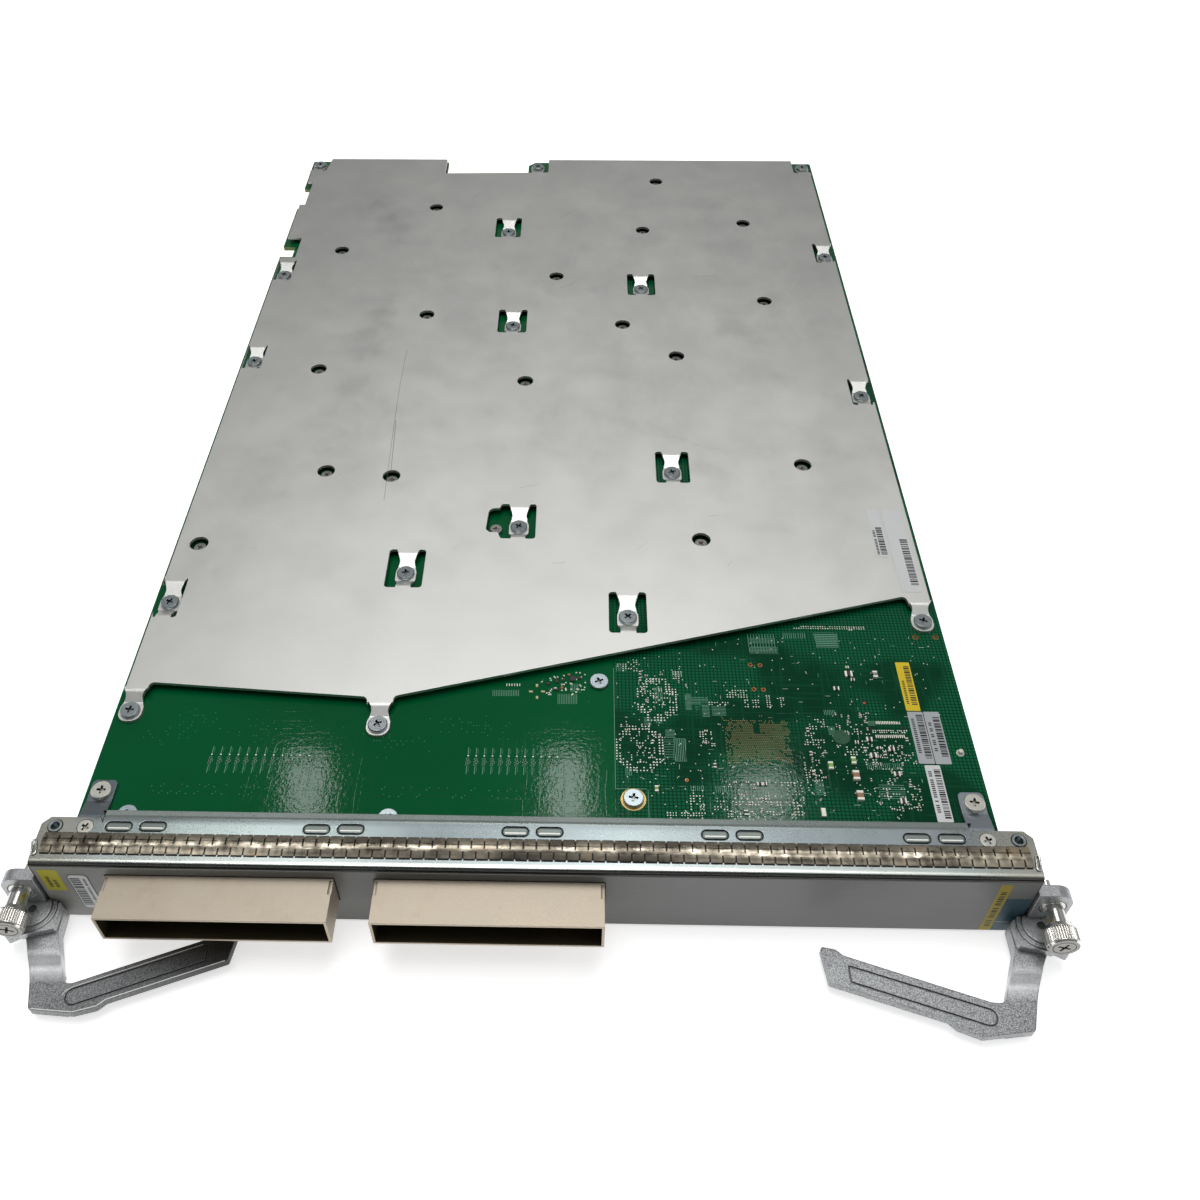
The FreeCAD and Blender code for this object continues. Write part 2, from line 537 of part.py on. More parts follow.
def bracket_shape():
    # upright plate that holds the captive screw, its outer end rounded
    plate = section_xz([(x_in, lt - ltk), (x_in, -4.0, 0.6), (198.6, -4.0, 6.3), (198.6, lt - ltk, 5.0)], pf, pb)
    # side wall along the channel's end, and the foot inside it
    wall = box(x_in, 188.0, pf, 18.5, lt - ltk, -4.0)
    wall2 = box(x_in, 188.0, 6.6, 18.5, -34.6, lt - ltk + 0.1)
    foot = box(181.8, 188.0, 6.6, 18.5, -33.4, 2.9).cut(box(185.0, 189, 6.0, 19.5, -4.0, 3.2))
    shelf = box(175.6, 182.5, 7.2, 18.5, -2.0, 2.9)
    # upper ledge: two steps of a disc about the pivot, running back to the plate
    ledge = rod(px, py, lt - ltk, lt - 0.9, lr).fuse(rod(px, py, lt - 1.0, lt, lr - 1.8))
    neck = box(px - 3.9, px + lr - 0.2, py, pb, lt - ltk, lt - 0.9).fuse(box(px - 3.9, px + lr - 1.8, py, pb, lt - 1.0, lt))
    # lower ledge under the lever's hub
    lower = rod(px, py, -34.6, -31.9, 6.2).fuse(box(px - 4.4, px + 4.5, py, 8.0, -34.6, -31.9))
    s = plate.fuse([wall, wall2, foot, shelf, ledge, neck, lower])
    # screw passage with its shallow seat, pivot bore, and the rivet nut's seat
    s = s.cut(rod_y(kx, kz, pf - 1, pb + 1, num("ferrule_r") - 0.15))
    s = s.cut(rod_y(kx, kz, pf - 1, pf + 1.0, 5.0))
    s = s.cut(rod(px, py, -40, lt + 1, num("pin_r")))
    s = s.cut(rod(179.5, 15.6, -5, 3, 2.6))
    # the ledges stop short of the faceplate
    s = s.cut(box(150, x_in, -0.6, 5.0, -36, lt + 1))
    return s


# the lower part, with the two ledges that hold the pivot, is a block of its own
whole_bracket = bracket_shape()
bracket = whole_bracket.common(box(150, 215, -30, 30, lt, 20))
pivot_block = whole_bracket.common(box(150, 215, -30, 30, -60, lt))
for q in (bracket, pivot_block):
    if len(q.Solids) != 1:
        raise RuntimeError("bracket split")
feature("right_ejector_bracket", bracket.Solids[0])
feature("left_ejector_bracket", mirror_x(bracket.Solids[0]))
feature("right_pivot_block", pivot_block.Solids[0])
feature("left_pivot_block", mirror_x(pivot_block.Solids[0]))

# ---- ejector levers -------------------------------------------------------
ht, zb, za, zl = num("hub_top"), num("lever_bottom"), num("lever_arm"), num("lever_low")


def polar(r, deg):
    return (px + r * math.cos(math.radians(deg)), py + r * math.sin(math.radians(deg)))


def lever_shape(arm, panel):
    hub = [
        (191.4, -11.7, 2.6), (195.4, -11.6, 2.6),
        # claw that hooks the rack: two prongs with a mouth between them
        (199.0, -13.7, 0.7), (199.8, -11.4, 0.7), (196.8, -9.2, 2.4), (197.4, -4.4, 1.6), (203.0, -4.9, 0.8), (203.2, -1.6, 0.8),
        polar(8.6, 40) + (2.0,), polar(5.7, 68) + (2.0,), polar(5.7, 105) + (2.0,), polar(5.6, 138) + (1.0,), (181.3, -1.7, 0.6), (179.3, -1.9, 0.8),
    ]
    plan = hub + arm
    if not Part.Face(wire(plan)).isValid():
        raise RuntimeError("lever outline")
    # hub goes counter-clockwise from the front, so the arm follows its inner wall
    s = slab(plan, zb, za)
    # the arm's upper face sinks in a soft S towards the handle
    sink = section_yz([(-16.0, za + 0.02), (-20.0, za - 0.25, 6.0), (-25.0, zl + 0.2, 6.0), (-30.0, zl, 0), (-60, zl, 0), (-60, za + 1), (-16.0, za + 1)], 170.9, 192)
    s = s.cut(sink)
    s = s.cut(box(90, 171.0, -60, 0, zl, za + 1))
    # handle is thinner than the arm: relieved underneath
    s = s.cut(box(90, 168.0, -60, 0, zb - 1, zb + 0.6))
    # closed groove pressed into the handle's upper face
    ring = Part.Face(wire(panel))
    inner = Part.Face(ring.makeOffset2D(-0.5).Wires[0])
    loop_cut = ring.cut(inner).extrude(V(0, 0, 1.6))
    loop_cut.translate(V(0, 0, zl - 0.55))
    s = s.cut(loop_cut)
    # upper hub: a raised wall that wraps round the bracket's ledge
    up = slab([(179.3, -2.0, 0.9), (179.3, -12.4, 1.2), (191.4, -14.9, 0.8), (194.6, -12.4, 0.8), (190.0, -5.0), (184.0, -2.0)], za - 0.1, lt - 0.6)
    up = up.cut(rod(px, py, ht - 0.3, 0, lr + 0.4))
    s = s.fuse(up)
    s = s.cut(rod(px, py, zb - 1, za + 1, num("pin_bore")))
    return s


RIGHT_ARM = [
    (178.9, -12.0, 4.0), (171.9, -27.6, 0.0), (170.9, -31.0, 3.2),
    (165.6, -30.5, 0.0), (115.4, -12.4, 3.0), (112.8, -10.0, 1.6), (107.2, -8.8, 1.0),
    (108.6, -22.5, 1.2), (148.9, -36.7, 2.0), (151.6, -39.5, 2.0), (159.6, -42.8, 1.6),
    (178.4, -41.0, 1.2), (182.4, -29.8, 8.0), (187.4, -18.3, 6.0),
]
RIGHT_PANEL = [(167.4, -33.8, 3.2), (165.0, -40.0, 3.2), (116.2, -22.6, 0.6), (116.4, -16.0, 0.6)]
LEFT_ARM = [
    (178.9, -12.0, 4.0), (173.3, -27.6, 0.0), (174.0, -31.0, 3.2),
    (169.0, -30.7, 0.0), (120.4, -13.4, 3.0), (117.4, -11.3, 1.6), (111.6, -10.4, 1.0),
    (113.6, -22.7, 1.2), (155.2, -37.2, 2.0), (158.0, -39.7, 2.0), (166.0, -41.7, 1.6),
    (182.2, -40.2, 1.2), (184.8, -29.8, 8.0), (188.6, -18.3, 6.0),
]
LEFT_PANEL = [(171.2, -33.6, 3.2), (168.8, -39.8, 3.2), (121.6, -22.9, 0.6), (121.8, -16.2, 0.6)]


def swing(shape, deg):
    c = shape.copy()
    c.rotate(V(px, py, 0), V(0, 0, 1), deg)
    return c


feature("right_ejector_lever", swing(lever_shape(RIGHT_ARM, RIGHT_PANEL), num("right_angle")))
feature("left_ejector_lever", mirror_x(swing(lever_shape(LEFT_ARM, LEFT_PANEL), -num("left_angle"))))

feature("pivot_pins", solids([Part.makeCylinder(num("pin_r"), 12.6, V(s * px, py, -34.2)) for s in (-1, 1)]))


# ---- captive screws -------------------------------------------------------
def revolve_y(points):
    """Half section as (radius, y), turned about the Y axis."""
    f = Part.Face(wire(points))
    return f.revolve(V(0, 0, 0), V(0, 1, 0), 360)


def screw_shape():
    """Necked shank with its threaded end; the knob is pressed on its front."""
    sr, tr, tip, y0 = num("shank_r"), num("thread_r"), num("thread_tip"), num("knob_face")
    return revolve_y([
        (0, y0 + 1.8), (sr, y0 + 1.8), (sr, tip - 5.8), (tr, tip - 5.7), (tr, tip - 0.7), (tr - 0.7, tip), (0, tip),
    ])


def knob_shape():
    r, y0, y1 = num("knob_r"), num("knob_face"), num("knob_back")
    core = revolve_y([
        (0, y0), (r - 0.6, y0), (r, y0 + 0.7), (r, y1 - 2.0), (r - 0.35, y1 - 1.7), (r - 1.2, y1), (4.1, y1), (4.1, y0 + 1.8), (0, y0 + 1.8),
    ])
    n = 40
    star = []
    for i in range(2 * n):
        a = math.pi * i / n
        rr = r + 0.05 if i % 2 else r - 0.38
        star.append(V(rr * math.cos(a), 0, rr * math.sin(a)))
    star.append(star[0])
    rib = Part.Face(Part.makePolygon(star)).extrude(V(0, (y1 - 2.1) - (y0 + 0.9), 0))
    rib.translate(V(0, y0 + 0.9, 0))
    outer = revolve_y([(r - 1.2, y0 + 0.9), (r + 0.5, y0 + 0.9), (r + 0.5, y1 - 2.1), (r - 1.2, y1 - 2.1)])
    knurl = outer.cut(rib)
    s = core.cut(knurl)
    # ring groove and cross recess in the face
    s = s.cut(revolve_y([(3.9, y0 - 1), (4.25, y0 - 1), (4.25, y0 + 0.3), (3.9, y0 + 0.3)]))
    cross = box(-2.6, 2.6, y0 - 1, y0 + 1.2, -0.5, 0.5).fuse(box(-0.5, 0.5, y0 - 1, y0 + 1.2, -2.6, 2.6))
    cross.rotate(V(0, 0, 0), V(0, 1, 0), 20)
    return s.cut(cross)


def ferrule_shape():
    fr, fb = num("ferrule_r"), num("ferrule_bore")
    return revolve_y([
        (fb, -9.9), (fr, -9.9), (fr, pf - 0.9 + 0.9), (4.7, pf + 0.0), (4.7, pf + 0.85), (fr - 0.2, pf + 0.85), (fr - 0.2, pb),
        (tr_clear(), pb), (tr_clear(), pb - 1.0), (fb, pb - 1.0),
    ])


def tr_clear():
    return num("thread_r") + 0.12


screw = screw_shape()
knob = knob_shape()
ferrule = ferrule_shape()


def spring_shape():
    helix = Part.makeHelix(1.15, 5.6, 2.5)
    prof = Part.Wire(Part.makeCircle(0.26, V(2.5, 0, 0), V(0, 1, 0.05)))
    coil = Part.Wire(helix.Edges).makePipeShell([prof], True, True)
    coil.rotate(V(0, 0, 0), V(1, 0, 0), -90)
    return coil


spring = spring_shape()
pair = []
for s in (-1, 1):
    q = ferrule.copy()
    q.translate(V(s * kx, 0, kz))
    pair.append(q)
feature("screw_ferrules", solids(pair))
for side, s in (("left", -1), ("right", 1)):
    feature(side + "_captive_screw", screw, x=s * kx, z=kz)
    feature(side + "_screw_knob", knob, x=s * kx, z=kz)
    feature(side + "_screw_spring", spring, x=s * kx, y=-15.2, z=kz)

# ---- corner brackets that tie the faceplate to the board ------------------
ct = num("corner_t")
under = top - t


def corner_shape(x):
    prof = section_yz([
        (38.4, 0.0), (38.4, ct, 0.4), (28.6, ct, 0.8), (21.6, under, 1.8), (8.4, under), (8.4, under - ct), (21.1, under - ct, 0.8), (28.0, 0.0, 1.8),
    ], x - 6, x + 6)
    h = num("corner_w") / 2
    plan = slab([(x - h, 8.0), (x + h, 8.0), (x + h, 34.5, 0.0), (x + h, 38.4, 2.4), (x - h, 38.4, 2.4), (x - h, 34.5, 0.0)], -2, 8)
    s = prof.common(plan)
    s = s.cut(rod(x + (0.4 if x > 0 else -0.0), 32.9, -2, 5, 2.2))
    return s.cut(rod(168.3 if x > 0 else -168.3, 15.6, -2, 5, 1.5))


feature("left_corner_bracket", corner_shape(-168.0))
feature("right_corner_bracket", corner_shape(167.4))

# ---- heat sinks, packages -------------------------------------------------
zc0 = -num("board_t")
chip_t = num("chip_t")
for i, (sx, sy, hx, hy, hand) in enumerate(SINKS, start=1):
    label = "heat_sink_%d" % i
    b = new_body(label)
    depth = "sizes.sink_w" if i < 9 else "41"
    sk = new_sketch(b, "XY_Plane", label + "_base")
    rect(sk, "-sizes.sink_w / 2", "-(%s) / 2" % depth, "sizes.sink_w", depth)
    pad(b, sk, label + "_plate", "sizes.sink_base", down=True)
    sk = new_sketch(b, "XY_Plane", label + "_fin", -num("sink_base") + 0.01)
    rect(sk, "-sizes.fin_pitch * (sizes.fin_count - 1) / 2 - sizes.fin_t / 2", "-(%s) / 2" % depth, "sizes.fin_t", depth)
    fin = pad(b, sk, label + "_fin_pad", "-sizes.sink_bottom - sizes.board_t - sizes.chip_t - sizes.sink_base", down=True)
    pat = b.newObject("PartDesign::LinearPattern", label + "_fins")
    pat.Originals = [fin]
    pat.Direction = (sk, ["H_Axis"])
    pat.setExpression("Length", "sizes.fin_pitch * (sizes.fin_count - 1)")
    pat.setExpression("Occurrences", "sizes.fin_count")
    b.Tip = pat
    doc.recompute()
    cuts = [rod(k * hand * hx, k * hy, -40, 2, 2.3) for k in (-1, 1)]
    reliefs = [rod(k * hand * hx, k * hy, -40, -num("sink_base"), 4.4) for k in (-1, 1)]
    shape = b.Shape.cut(solids(cuts)).cut(solids(reliefs))
    big = [s_ for s_ in shape.Solids if s_.Volume > 500]
    b.Label = label + "_blank"
    feature(label, big[0], x=sx, y=sy, z=zc0 - chip_t)

for i, (sx, sy, hx, hy, hand) in enumerate(SINKS, start=1):
    w = num("chip_w") if i < 9 else 27.0
    pk = doc.addObject("Part::Box", "processor_package_%d" % i)
    if i < 9:
        pk.setExpression("Length", "sizes.chip_w")
        pk.setExpression("Width", "sizes.chip_w")
    else:
        pk.Length = 27
        pk.Width = 27
    pk.setExpression("Height", "sizes.chip_t")
    place(pk, sx - w / 2, sy - w / 2, zc0 - chip_t)
    keep(pk, "processor_package_%d" % i)

chip = section_xz([(-18.75, -3.0, 0.4), (18.75, -3.0, 0.4), (18.75, 0), (-18.75, 0)], -18.75, 18.75)
feature("fpga_package", chip, x=89.5, y=62.0, z=zc0)

# ---- rear connectors ------------------------------------------------------
cf, cb2 = num("conn_front"), num("conn_back")


def connector_shape(w, depth_z):
    s = section_xz([(-w / 2, -depth_z, 0.6), (w / 2, -depth_z, 0.6), (w / 2, 0), (-w / 2, 0)], cf - 12.0, cb2)
    n = int((w - 4) // 7)
    gap = (w - 4.0) / n
    for k in range(n):
        x0 = -w / 2 + 2 + k * gap + (gap - 3.4) / 2
        s = s.cut(box(x0, x0 + 3.4, cb2 - 8.0, cb2 + 1, -depth_z + 2.0, -2.5))
    return s


feature("backplane_connector_1", connector_shape(70, 24.0), x=-119.6, z=zc0)
feature("backplane_connector_2", connector_shape(56, 24.0), x=18.0, z=zc0)
feature("backplane_connector_3", connector_shape(56, 24.0), x=78.5, z=zc0)
power = section_xz([(-21, -19, 0.8), (21, -19, 0.8), (21, 0), (-21, 0)], cf - 8.0, cb2)
for x0 in (-17.5, -5.0, 7.5):
    power = power.cut(box(x0, x0 + 10, cb2 - 9, cb2 + 1, -16, -4))
feature("power_connector", power, x=132.5, z=zc0)


def guide_shape():
    g = section_xz([(-5.6, -zc_guide, 0.8), (5.6, -zc_guide, 0.8), (5.6, 0), (-5.6, 0)], 528.0, 553.5)
    g = g.cut(rod_y(0, -8.0, 530.0, 556, 3.2))
    return g.cut(Part.makeCone(3.2, 4.4, 1.6, V(0, 552.0, -8.0), V(0, 1, 0)))


# the guide blocks are the card's rear feet when it lies on a bench
zc_guide = num("z_shift") - num("board_t")
guide = guide_shape()
guide_l = guide.cut(rod(0, 541.2, -6, 1, 1.92))
guide_r = guide.cut(rod(0, 540.3, -6, 1, 1.92))
feature("left_guide_block", guide_l, x=-168.4, z=zc0)
feature("right_guide_block", guide_r, x=167.6, z=zc0)

# ---- power modules --------------------------------------------------------
POWER = [(-120.0, 108.0), (-30.0, 110.0), (96.0, 128.0)]
for i, (x, y) in enumerate(POWER, start=1):
    base = box(-29, 29, -18.5, 18.5, -3.2, -1.6)
    block = section_xz([(-25, -12.0, 1.2), (25, -12.0, 1.2), (25, -3.2), (-25, -3.2)], -15.5, 15.5)
    pins = [rod(px_, py_, -1.7, 0, 1.0) for px_ in (-26.4, 26.4) for py_ in (-12, 0, 12)]
    m = base.fuse(block)
    for q in pins:
        m = m.fuse(q)
    feature("power_module_%d" % i, m.removeSplitter(), x=x, y=y, z=zc0)


# ---- fasteners ------------------------------------------------------------
def pan_screw(length, head_r=4.0, head_h=1.6, shank_r=1.9):
    """Cross recessed flat topped screw, its head's seat at z = 0."""
    prof = [(0, -length), (shank_r - 0.4, -length), (shank_r, -length + 0.5), (shank_r, 0), (head_r, 0), (head_r, head_h - 0.35), (head_r - 0.3, head_h), (0, head_h)]
    f = Part.Face(Part.makePolygon([V(a, 0, b) for a, b in prof] + [V(prof[0][0], 0, prof[0][1])]))
    s = f.revolve(V(0, 0, 0), V(0, 0, 1), 360)
    lo, arm, half = head_h - 1.2, 0.45 * head_r, 0.11 * head_r
    cross = box(-arm, arm, -half, half, lo, head_h + 1).fuse(box(-half, half, -arm, arm, lo, head_h + 1))
    return s.cut(cross.fuse(rod(0, 0, lo, head_h + 1, 0.21 * head_r)))


def spun(shape, deg, x, y, z):
    c = shape.copy()
    c.rotate(V(0, 0, 0), V(0, 0, 1), deg)
    c.translate(V(x, y, z))
    return c


tc = num("cover_t")
long_screw = pan_screw(7.2)
group = [spun(long_screw, (i * 37) % 90, x, y, tc) for i, (x, y) in enumerate(COVER_SCREWS)]
feature("cover_screws", solids(group))


def hex_nut(bore, across, height):
    r = across / math.sqrt(3)
    pts = [(r * math.cos(math.radians(60 * k)), r * math.sin(math.radians(60 * k))) for k in range(6)]
    s = slab(pts, -height, 0)
    return s.cut(rod(0, 0, -height - 1, 1, bore))


nut = hex_nut(1.9, 7.0, 3.2)
front_nuts = [p_ for p_ in COVER_SCREWS if not (abs(p_[0]) > 160 and p_[1] > 535)] + CORNER_SCREWS + BOARD_SCREWS[2:]
feature("board_nuts", solids([spun(nut, (i * 17) % 60, x, y, zc0) for i, (x, y) in enumerate(front_nuts)]))

# the two beside the cages end in the cages' upper walls, the other two in nuts
short_screw = pan_screw(5.6)
stub_screw = pan_screw(3.3)
feature("board_screws", solids([spun(stub_screw if i < 2 else short_screw, 20 + i * 31, x, y, 0.0) for i, (x, y) in enumerate(BOARD_SCREWS)]))
tab_screw = pan_screw(6.8)
feature("corner_screws", solids([spun(tab_screw, 0 if i == 0 else 80, x, y, ct) for i, (x, y) in enumerate(CORNER_SCREWS)]))

# heat sink screws come up through the board; their ends show in the access holes
stud = pan_screw(10.6, head_r=3.0, head_h=1.9, shank_r=1.6)
studs = []
for i, (x, y) in enumerate(SINK_SCREWS):
    studs.append(spun(stud, (i * 53) % 90, x, y, 0.0))
feature("heat_sink_screws", solids(studs))

flat = Part.makeCone(1.45, 3.0, 1.5, V(0, 0, -1.5)).fuse(rod(0, 0, -4.4, -1.4, 1.45))
flat = flat.cut(box(-1.6, 1.6, -0.42, 0.42, -0.9, 1).fuse(box(-0.42, 0.42, -1.6, 1.6, -0.9, 1)).fuse(rod(0, 0, -0.9, 1, 0.75)))
feature("flange_screws", solids([spun(flat, 20 if s > 0 else 60, s * 168.3, 15.6, top) for s in (-1, 1)]))

# rivet nuts: a thin flange over the sheet and a threaded sleeve below
rn = Part.Face(Part.makePolygon([V(a, 0, b) for a, b in [(1.55, -6.0), (2.2, -6.0), (2.2, 0.0), (2.65, 0.0), (2.5, 0.5), (1.8, 0.5), (1.55, 0.25), (1.55, -6.0)]])).revolve(V(0, 0, 0), V(0, 0, 1), 360)
feature("rivet_nuts", solids([spun(rn, 0, s * 179.5, 15.6, top) for s in (-1, 1)]))

# ---- check and write ------------------------------------------------------
doc.recompute()
bad = [o.Name for o in doc.Objects if "Invalid" in o.State or "Error" in o.State]
if bad:
    raise RuntimeError("failed objects: %s" % bad)
names = [o.Label for o in PARTS]
if len(set(names)) != len(names) or len(names) > 60:
    raise RuntimeError("node names: %d" % len(names))
for o in PARTS:
    if o.Shape.isNull() or not o.Shape.isValid():
        raise RuntimeError("bad shape: " + o.Label)
os.makedirs("parts", exist_ok=True)
whole = None
for o in PARTS:
    o.Shape.exportStep("parts/%s.step" % o.Label)
    bbx = o.Shape.BoundBox
    if whole is None:
        whole = FreeCAD.BoundBox(bbx)
    else:
        whole.add(bbx)
    print("%-26s solids %3d  vol %10.1f  x %.1f..%.1f y %.1f..%.1f z %.1f..%.1f" % (
        o.Label, len(o.Shape.Solids), o.Shape.Volume, bbx.XMin, bbx.XMax, bbx.YMin, bbx.YMax, bbx.ZMin, bbx.ZMax))
print("nodes", len(PARTS))
print("box", whole.XMin, whole.XMax, whole.YMin, whole.YMax, whole.ZMin, whole.ZMax)
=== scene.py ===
import bmesh
import bpy
import math
import random
from mathutils import Matrix, Vector


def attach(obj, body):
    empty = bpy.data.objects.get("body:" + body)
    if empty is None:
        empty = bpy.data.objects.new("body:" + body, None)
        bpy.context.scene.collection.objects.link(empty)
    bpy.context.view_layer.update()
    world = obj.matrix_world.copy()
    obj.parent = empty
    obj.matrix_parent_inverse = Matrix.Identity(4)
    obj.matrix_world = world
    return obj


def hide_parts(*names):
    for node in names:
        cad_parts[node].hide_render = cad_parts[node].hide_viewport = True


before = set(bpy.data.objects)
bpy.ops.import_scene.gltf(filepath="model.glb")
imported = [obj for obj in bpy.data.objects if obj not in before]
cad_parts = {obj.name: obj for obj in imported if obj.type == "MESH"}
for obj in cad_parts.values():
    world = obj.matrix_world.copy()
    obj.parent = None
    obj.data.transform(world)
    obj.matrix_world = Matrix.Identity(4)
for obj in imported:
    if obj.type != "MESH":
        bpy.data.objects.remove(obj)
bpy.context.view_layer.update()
rnd = random.Random(7)

# ---- local frame: x along the faceplate, y back from its front, z up from the
# upper board face, in millimetres ------------------------------------------
YS, ZS = -254.97, 35.5


def L(x, y, z=0.0):
    return Vector((x / 1000.0, (y + YS) / 1000.0, (z + ZS) / 1000.0))


# camera as fitted to the picture
F_PX, CX_PX, CY_PX = 1144.064, 559.604, 539.209
PITCH, YAW, ROLL = math.radians(45.002), math.radians(-1.421), math.radians(-0.39)
EYE = Vector((15.998, -207.887, 383.119))
FW = Vector((math.sin(YAW) * math.cos(PITCH), math.cos(YAW) * math.cos(PITCH), -math.sin(PITCH)))
RT = Vector((math.cos(YAW), -math.sin(YAW), 0.0))
UPV = RT.cross(FW)
R2 = RT * math.cos(ROLL) + UPV * math.sin(ROLL)
U2 = -RT * math.sin(ROLL) + UPV * math.cos(ROLL)


def at(u, v, z=0.0):
    """Local (x, y) of an image point on the plane at height z."""
    d = FW + R2 * ((u - CX_PX) / F_PX) - U2 * ((v - CY_PX) / F_PX)
    k = (z - EYE.z) / d.z
    p = EYE + d * k
    return p.x, p.y


cam_data = bpy.data.cameras.new("view")
cam_data.sensor_width = 36.0
cam_data.lens = F_PX / 1200.0 * 36.0
cam_data.shift_x = (600.0 - CX_PX) / 1200.0
cam_data.shift_y = (CY_PX - 600.0) / 1200.0
cam_data.clip_start = 0.01
cam_data.clip_end = 20
cam = bpy.data.objects.new("view", cam_data)
bpy.context.scene.collection.objects.link(cam)
m = Matrix.Identity(4)
for i in range(3):
    m[i][0] = R2[i]
    m[i][1] = U2[i]
    m[i][2] = -FW[i]
eye = L(EYE.x, EYE.y, EYE.z)
m[0][3], m[1][3], m[2][3] = eye.x, eye.y, eye.z
cam.matrix_world = m
bpy.context.scene.camera = cam
bpy.context.scene.view_settings.view_transform = "Standard"
bpy.context.scene.view_settings.look = "None"


# ---- material building ----------------------------------------------------
def srgb(r, g, b):
    out = []
    for c in (r, g, b):
        c = c / 255.0
        out.append(c / 12.92 if c <= 0.04045 else ((c + 0.055) / 1.055) ** 2.4)
    return (out[0], out[1], out[2], 1.0)


class Mat:
    def __init__(self, name, color=(0.5, 0.5, 0.5, 1), metallic=0.0, rough=0.5):
        self.m = bpy.data.materials.new(name)
        self.m.use_nodes = True
        self.t = self.m.node_tree
        self.p = self.t.nodes["Principled BSDF"]
        self.p.inputs["Base Color"].default_value = color
        self.p.inputs["Metallic"].default_value = metallic
        self.p.inputs["Roughness"].default_value = rough
        self.co = self.t.nodes.new("ShaderNodeTexCoord").outputs["Object"]
        self.bumps = []

    def node(self, kind, **props):
        n = self.t.nodes.new(kind)
        for k, v in props.items():
            setattr(n, k, v)
        return n

    def link(self, a, b):
        self.t.links.new(a, b)

    def put(self, name, v):
        if isinstance(v, (int, float, tuple)):
            self.p.inputs[name].default_value = v
        else:
            self.link(v, self.p.inputs[name])

    def mapped(self, scale=(1, 1, 1), loc=(0, 0, 0), rot=(0, 0, 0)):
        n = self.node("ShaderNodeMapping")
        self.link(self.co, n.inputs["Vector"])
        n.inputs["Scale"].default_value = scale
        n.inputs["Location"].default_value = loc
        n.inputs["Rotation"].default_value = rot
        return n.outputs[0]

    def noise(self, scale, detail=3.0, rough=0.5, vec=None, dist=0.0):
        n = self.node("ShaderNodeTexNoise")
        self.link(vec or self.co, n.inputs["Vector"])
        n.inputs["Scale"].default_value = scale
        n.inputs["Detail"].default_value = detail
        n.inputs["Roughness"].default_value = rough
        n.inputs["Distortion"].default_value = dist
        return n.outputs["Fac"]

    def voronoi(self, scale, vec=None, feature="F1", out="Distance"):
        n = self.node("ShaderNodeTexVoronoi", feature=feature)
        self.link(vec or self.co, n.inputs["Vector"])
        n.inputs["Scale"].default_value = scale
        return n.outputs[out]

    def math(self, op, a, b=None, c=None, clamp=False):
        n = self.node("ShaderNodeMath", operation=op, use_clamp=clamp)
        for i, v in enumerate((a, b, c)):
            if v is None:
                continue
            if isinstance(v, (int, float)):
                n.inputs[i].default_value = v
            else:
                self.link(v, n.inputs[i])
        return n.outputs[0]

    def ramp(self, fac, stops, interp="LINEAR"):
        n = self.node("ShaderNodeValToRGB")
        self.link(fac, n.inputs["Fac"])
        cr = n.color_ramp
        cr.interpolation = interp
        while len(cr.elements) > len(stops):
            cr.elements.remove(cr.elements[-1])
        while len(cr.elements) < len(stops):
            cr.elements.new(0.5)
        for e, (p, c) in zip(cr.elements, stops):
            e.position = p
            e.color = c if isinstance(c, tuple) else (c, c, c, 1)
        return n.outputs["Color"]

    def span(self, v, a, b, c=0.0, d=1.0, clamp=True):
        n = self.node("ShaderNodeMapRange", clamp=clamp)
        self.link(v, n.inputs["Value"])
        for k, x in zip(("From Min", "From Max", "To Min", "To Max"), (a, b, c, d)):
            n.inputs[k].default_value = x
        return n.outputs["Result"]

    def mix(self, fac, a, b, mode="MIX"):
        n = self.node("ShaderNodeMix", data_type="RGBA", blend_type=mode)
        for s, v in ((0, fac), (6, a), (7, b)):
            if isinstance(v, (int, float)) and s == 0:
                n.inputs[0].default_value = v
            elif isinstance(v, tuple):
                n.inputs[s].default_value = v
            else:
                self.link(v, n.inputs[s])
        return n.outputs[2]

    def xyz(self, vec=None):
        n = self.node("ShaderNodeSeparateXYZ")
        self.link(vec or self.co, n.inputs[0])
        return n.outputs[0], n.outputs[1], n.outputs[2]

    def hollow(self, distance=0.001, alone=True, lo=0.80, hi=0.38):
        """0 on open faces, up to 1 deep in a recess."""
        n = self.node("ShaderNodeAmbientOcclusion", samples=6, only_local=alone)
        n.inputs["Distance"].default_value = distance
        return self.span(n.outputs["AO"], lo, hi)

    def rim(self, radius=0.0008):
        """1 along sharp edges."""
        bv = self.node("ShaderNodeBevel", samples=4)
        bv.inputs["Radius"].default_value = radius
        g = self.node("ShaderNodeNewGeometry")
        d = self.node("ShaderNodeVectorMath", operation="DOT_PRODUCT")
        self.link(bv.outputs[0], d.inputs[0])
        self.link(g.outputs["Normal"], d.inputs[1])
        return self.span(d.outputs["Value"], 0.985, 0.86)

    def bump(self, height, strength=0.2, distance=0.0002):
        self.bumps.append((height, strength, distance))

    def done(self, edge=None):
        prev = None
        if edge:
            bv = self.node("ShaderNodeBevel", samples=4)
            bv.inputs["Radius"].default_value = edge
            prev = bv.outputs[0]
        for h, s, d in self.bumps:
            b = self.node("ShaderNodeBump")
            b.inputs["Strength"].default_value = s
            b.inputs["Distance"].default_value = d
            self.link(h, b.inputs["Height"])
            if prev is not None:
                self.link(prev, b.inputs["Normal"])
            prev = b.outputs[0]
        if prev is not None:
            self.link(prev, self.p.inputs["Normal"])
            self.link(prev, self.p.inputs["Coat Normal"])
        return self.m


MATS = {}


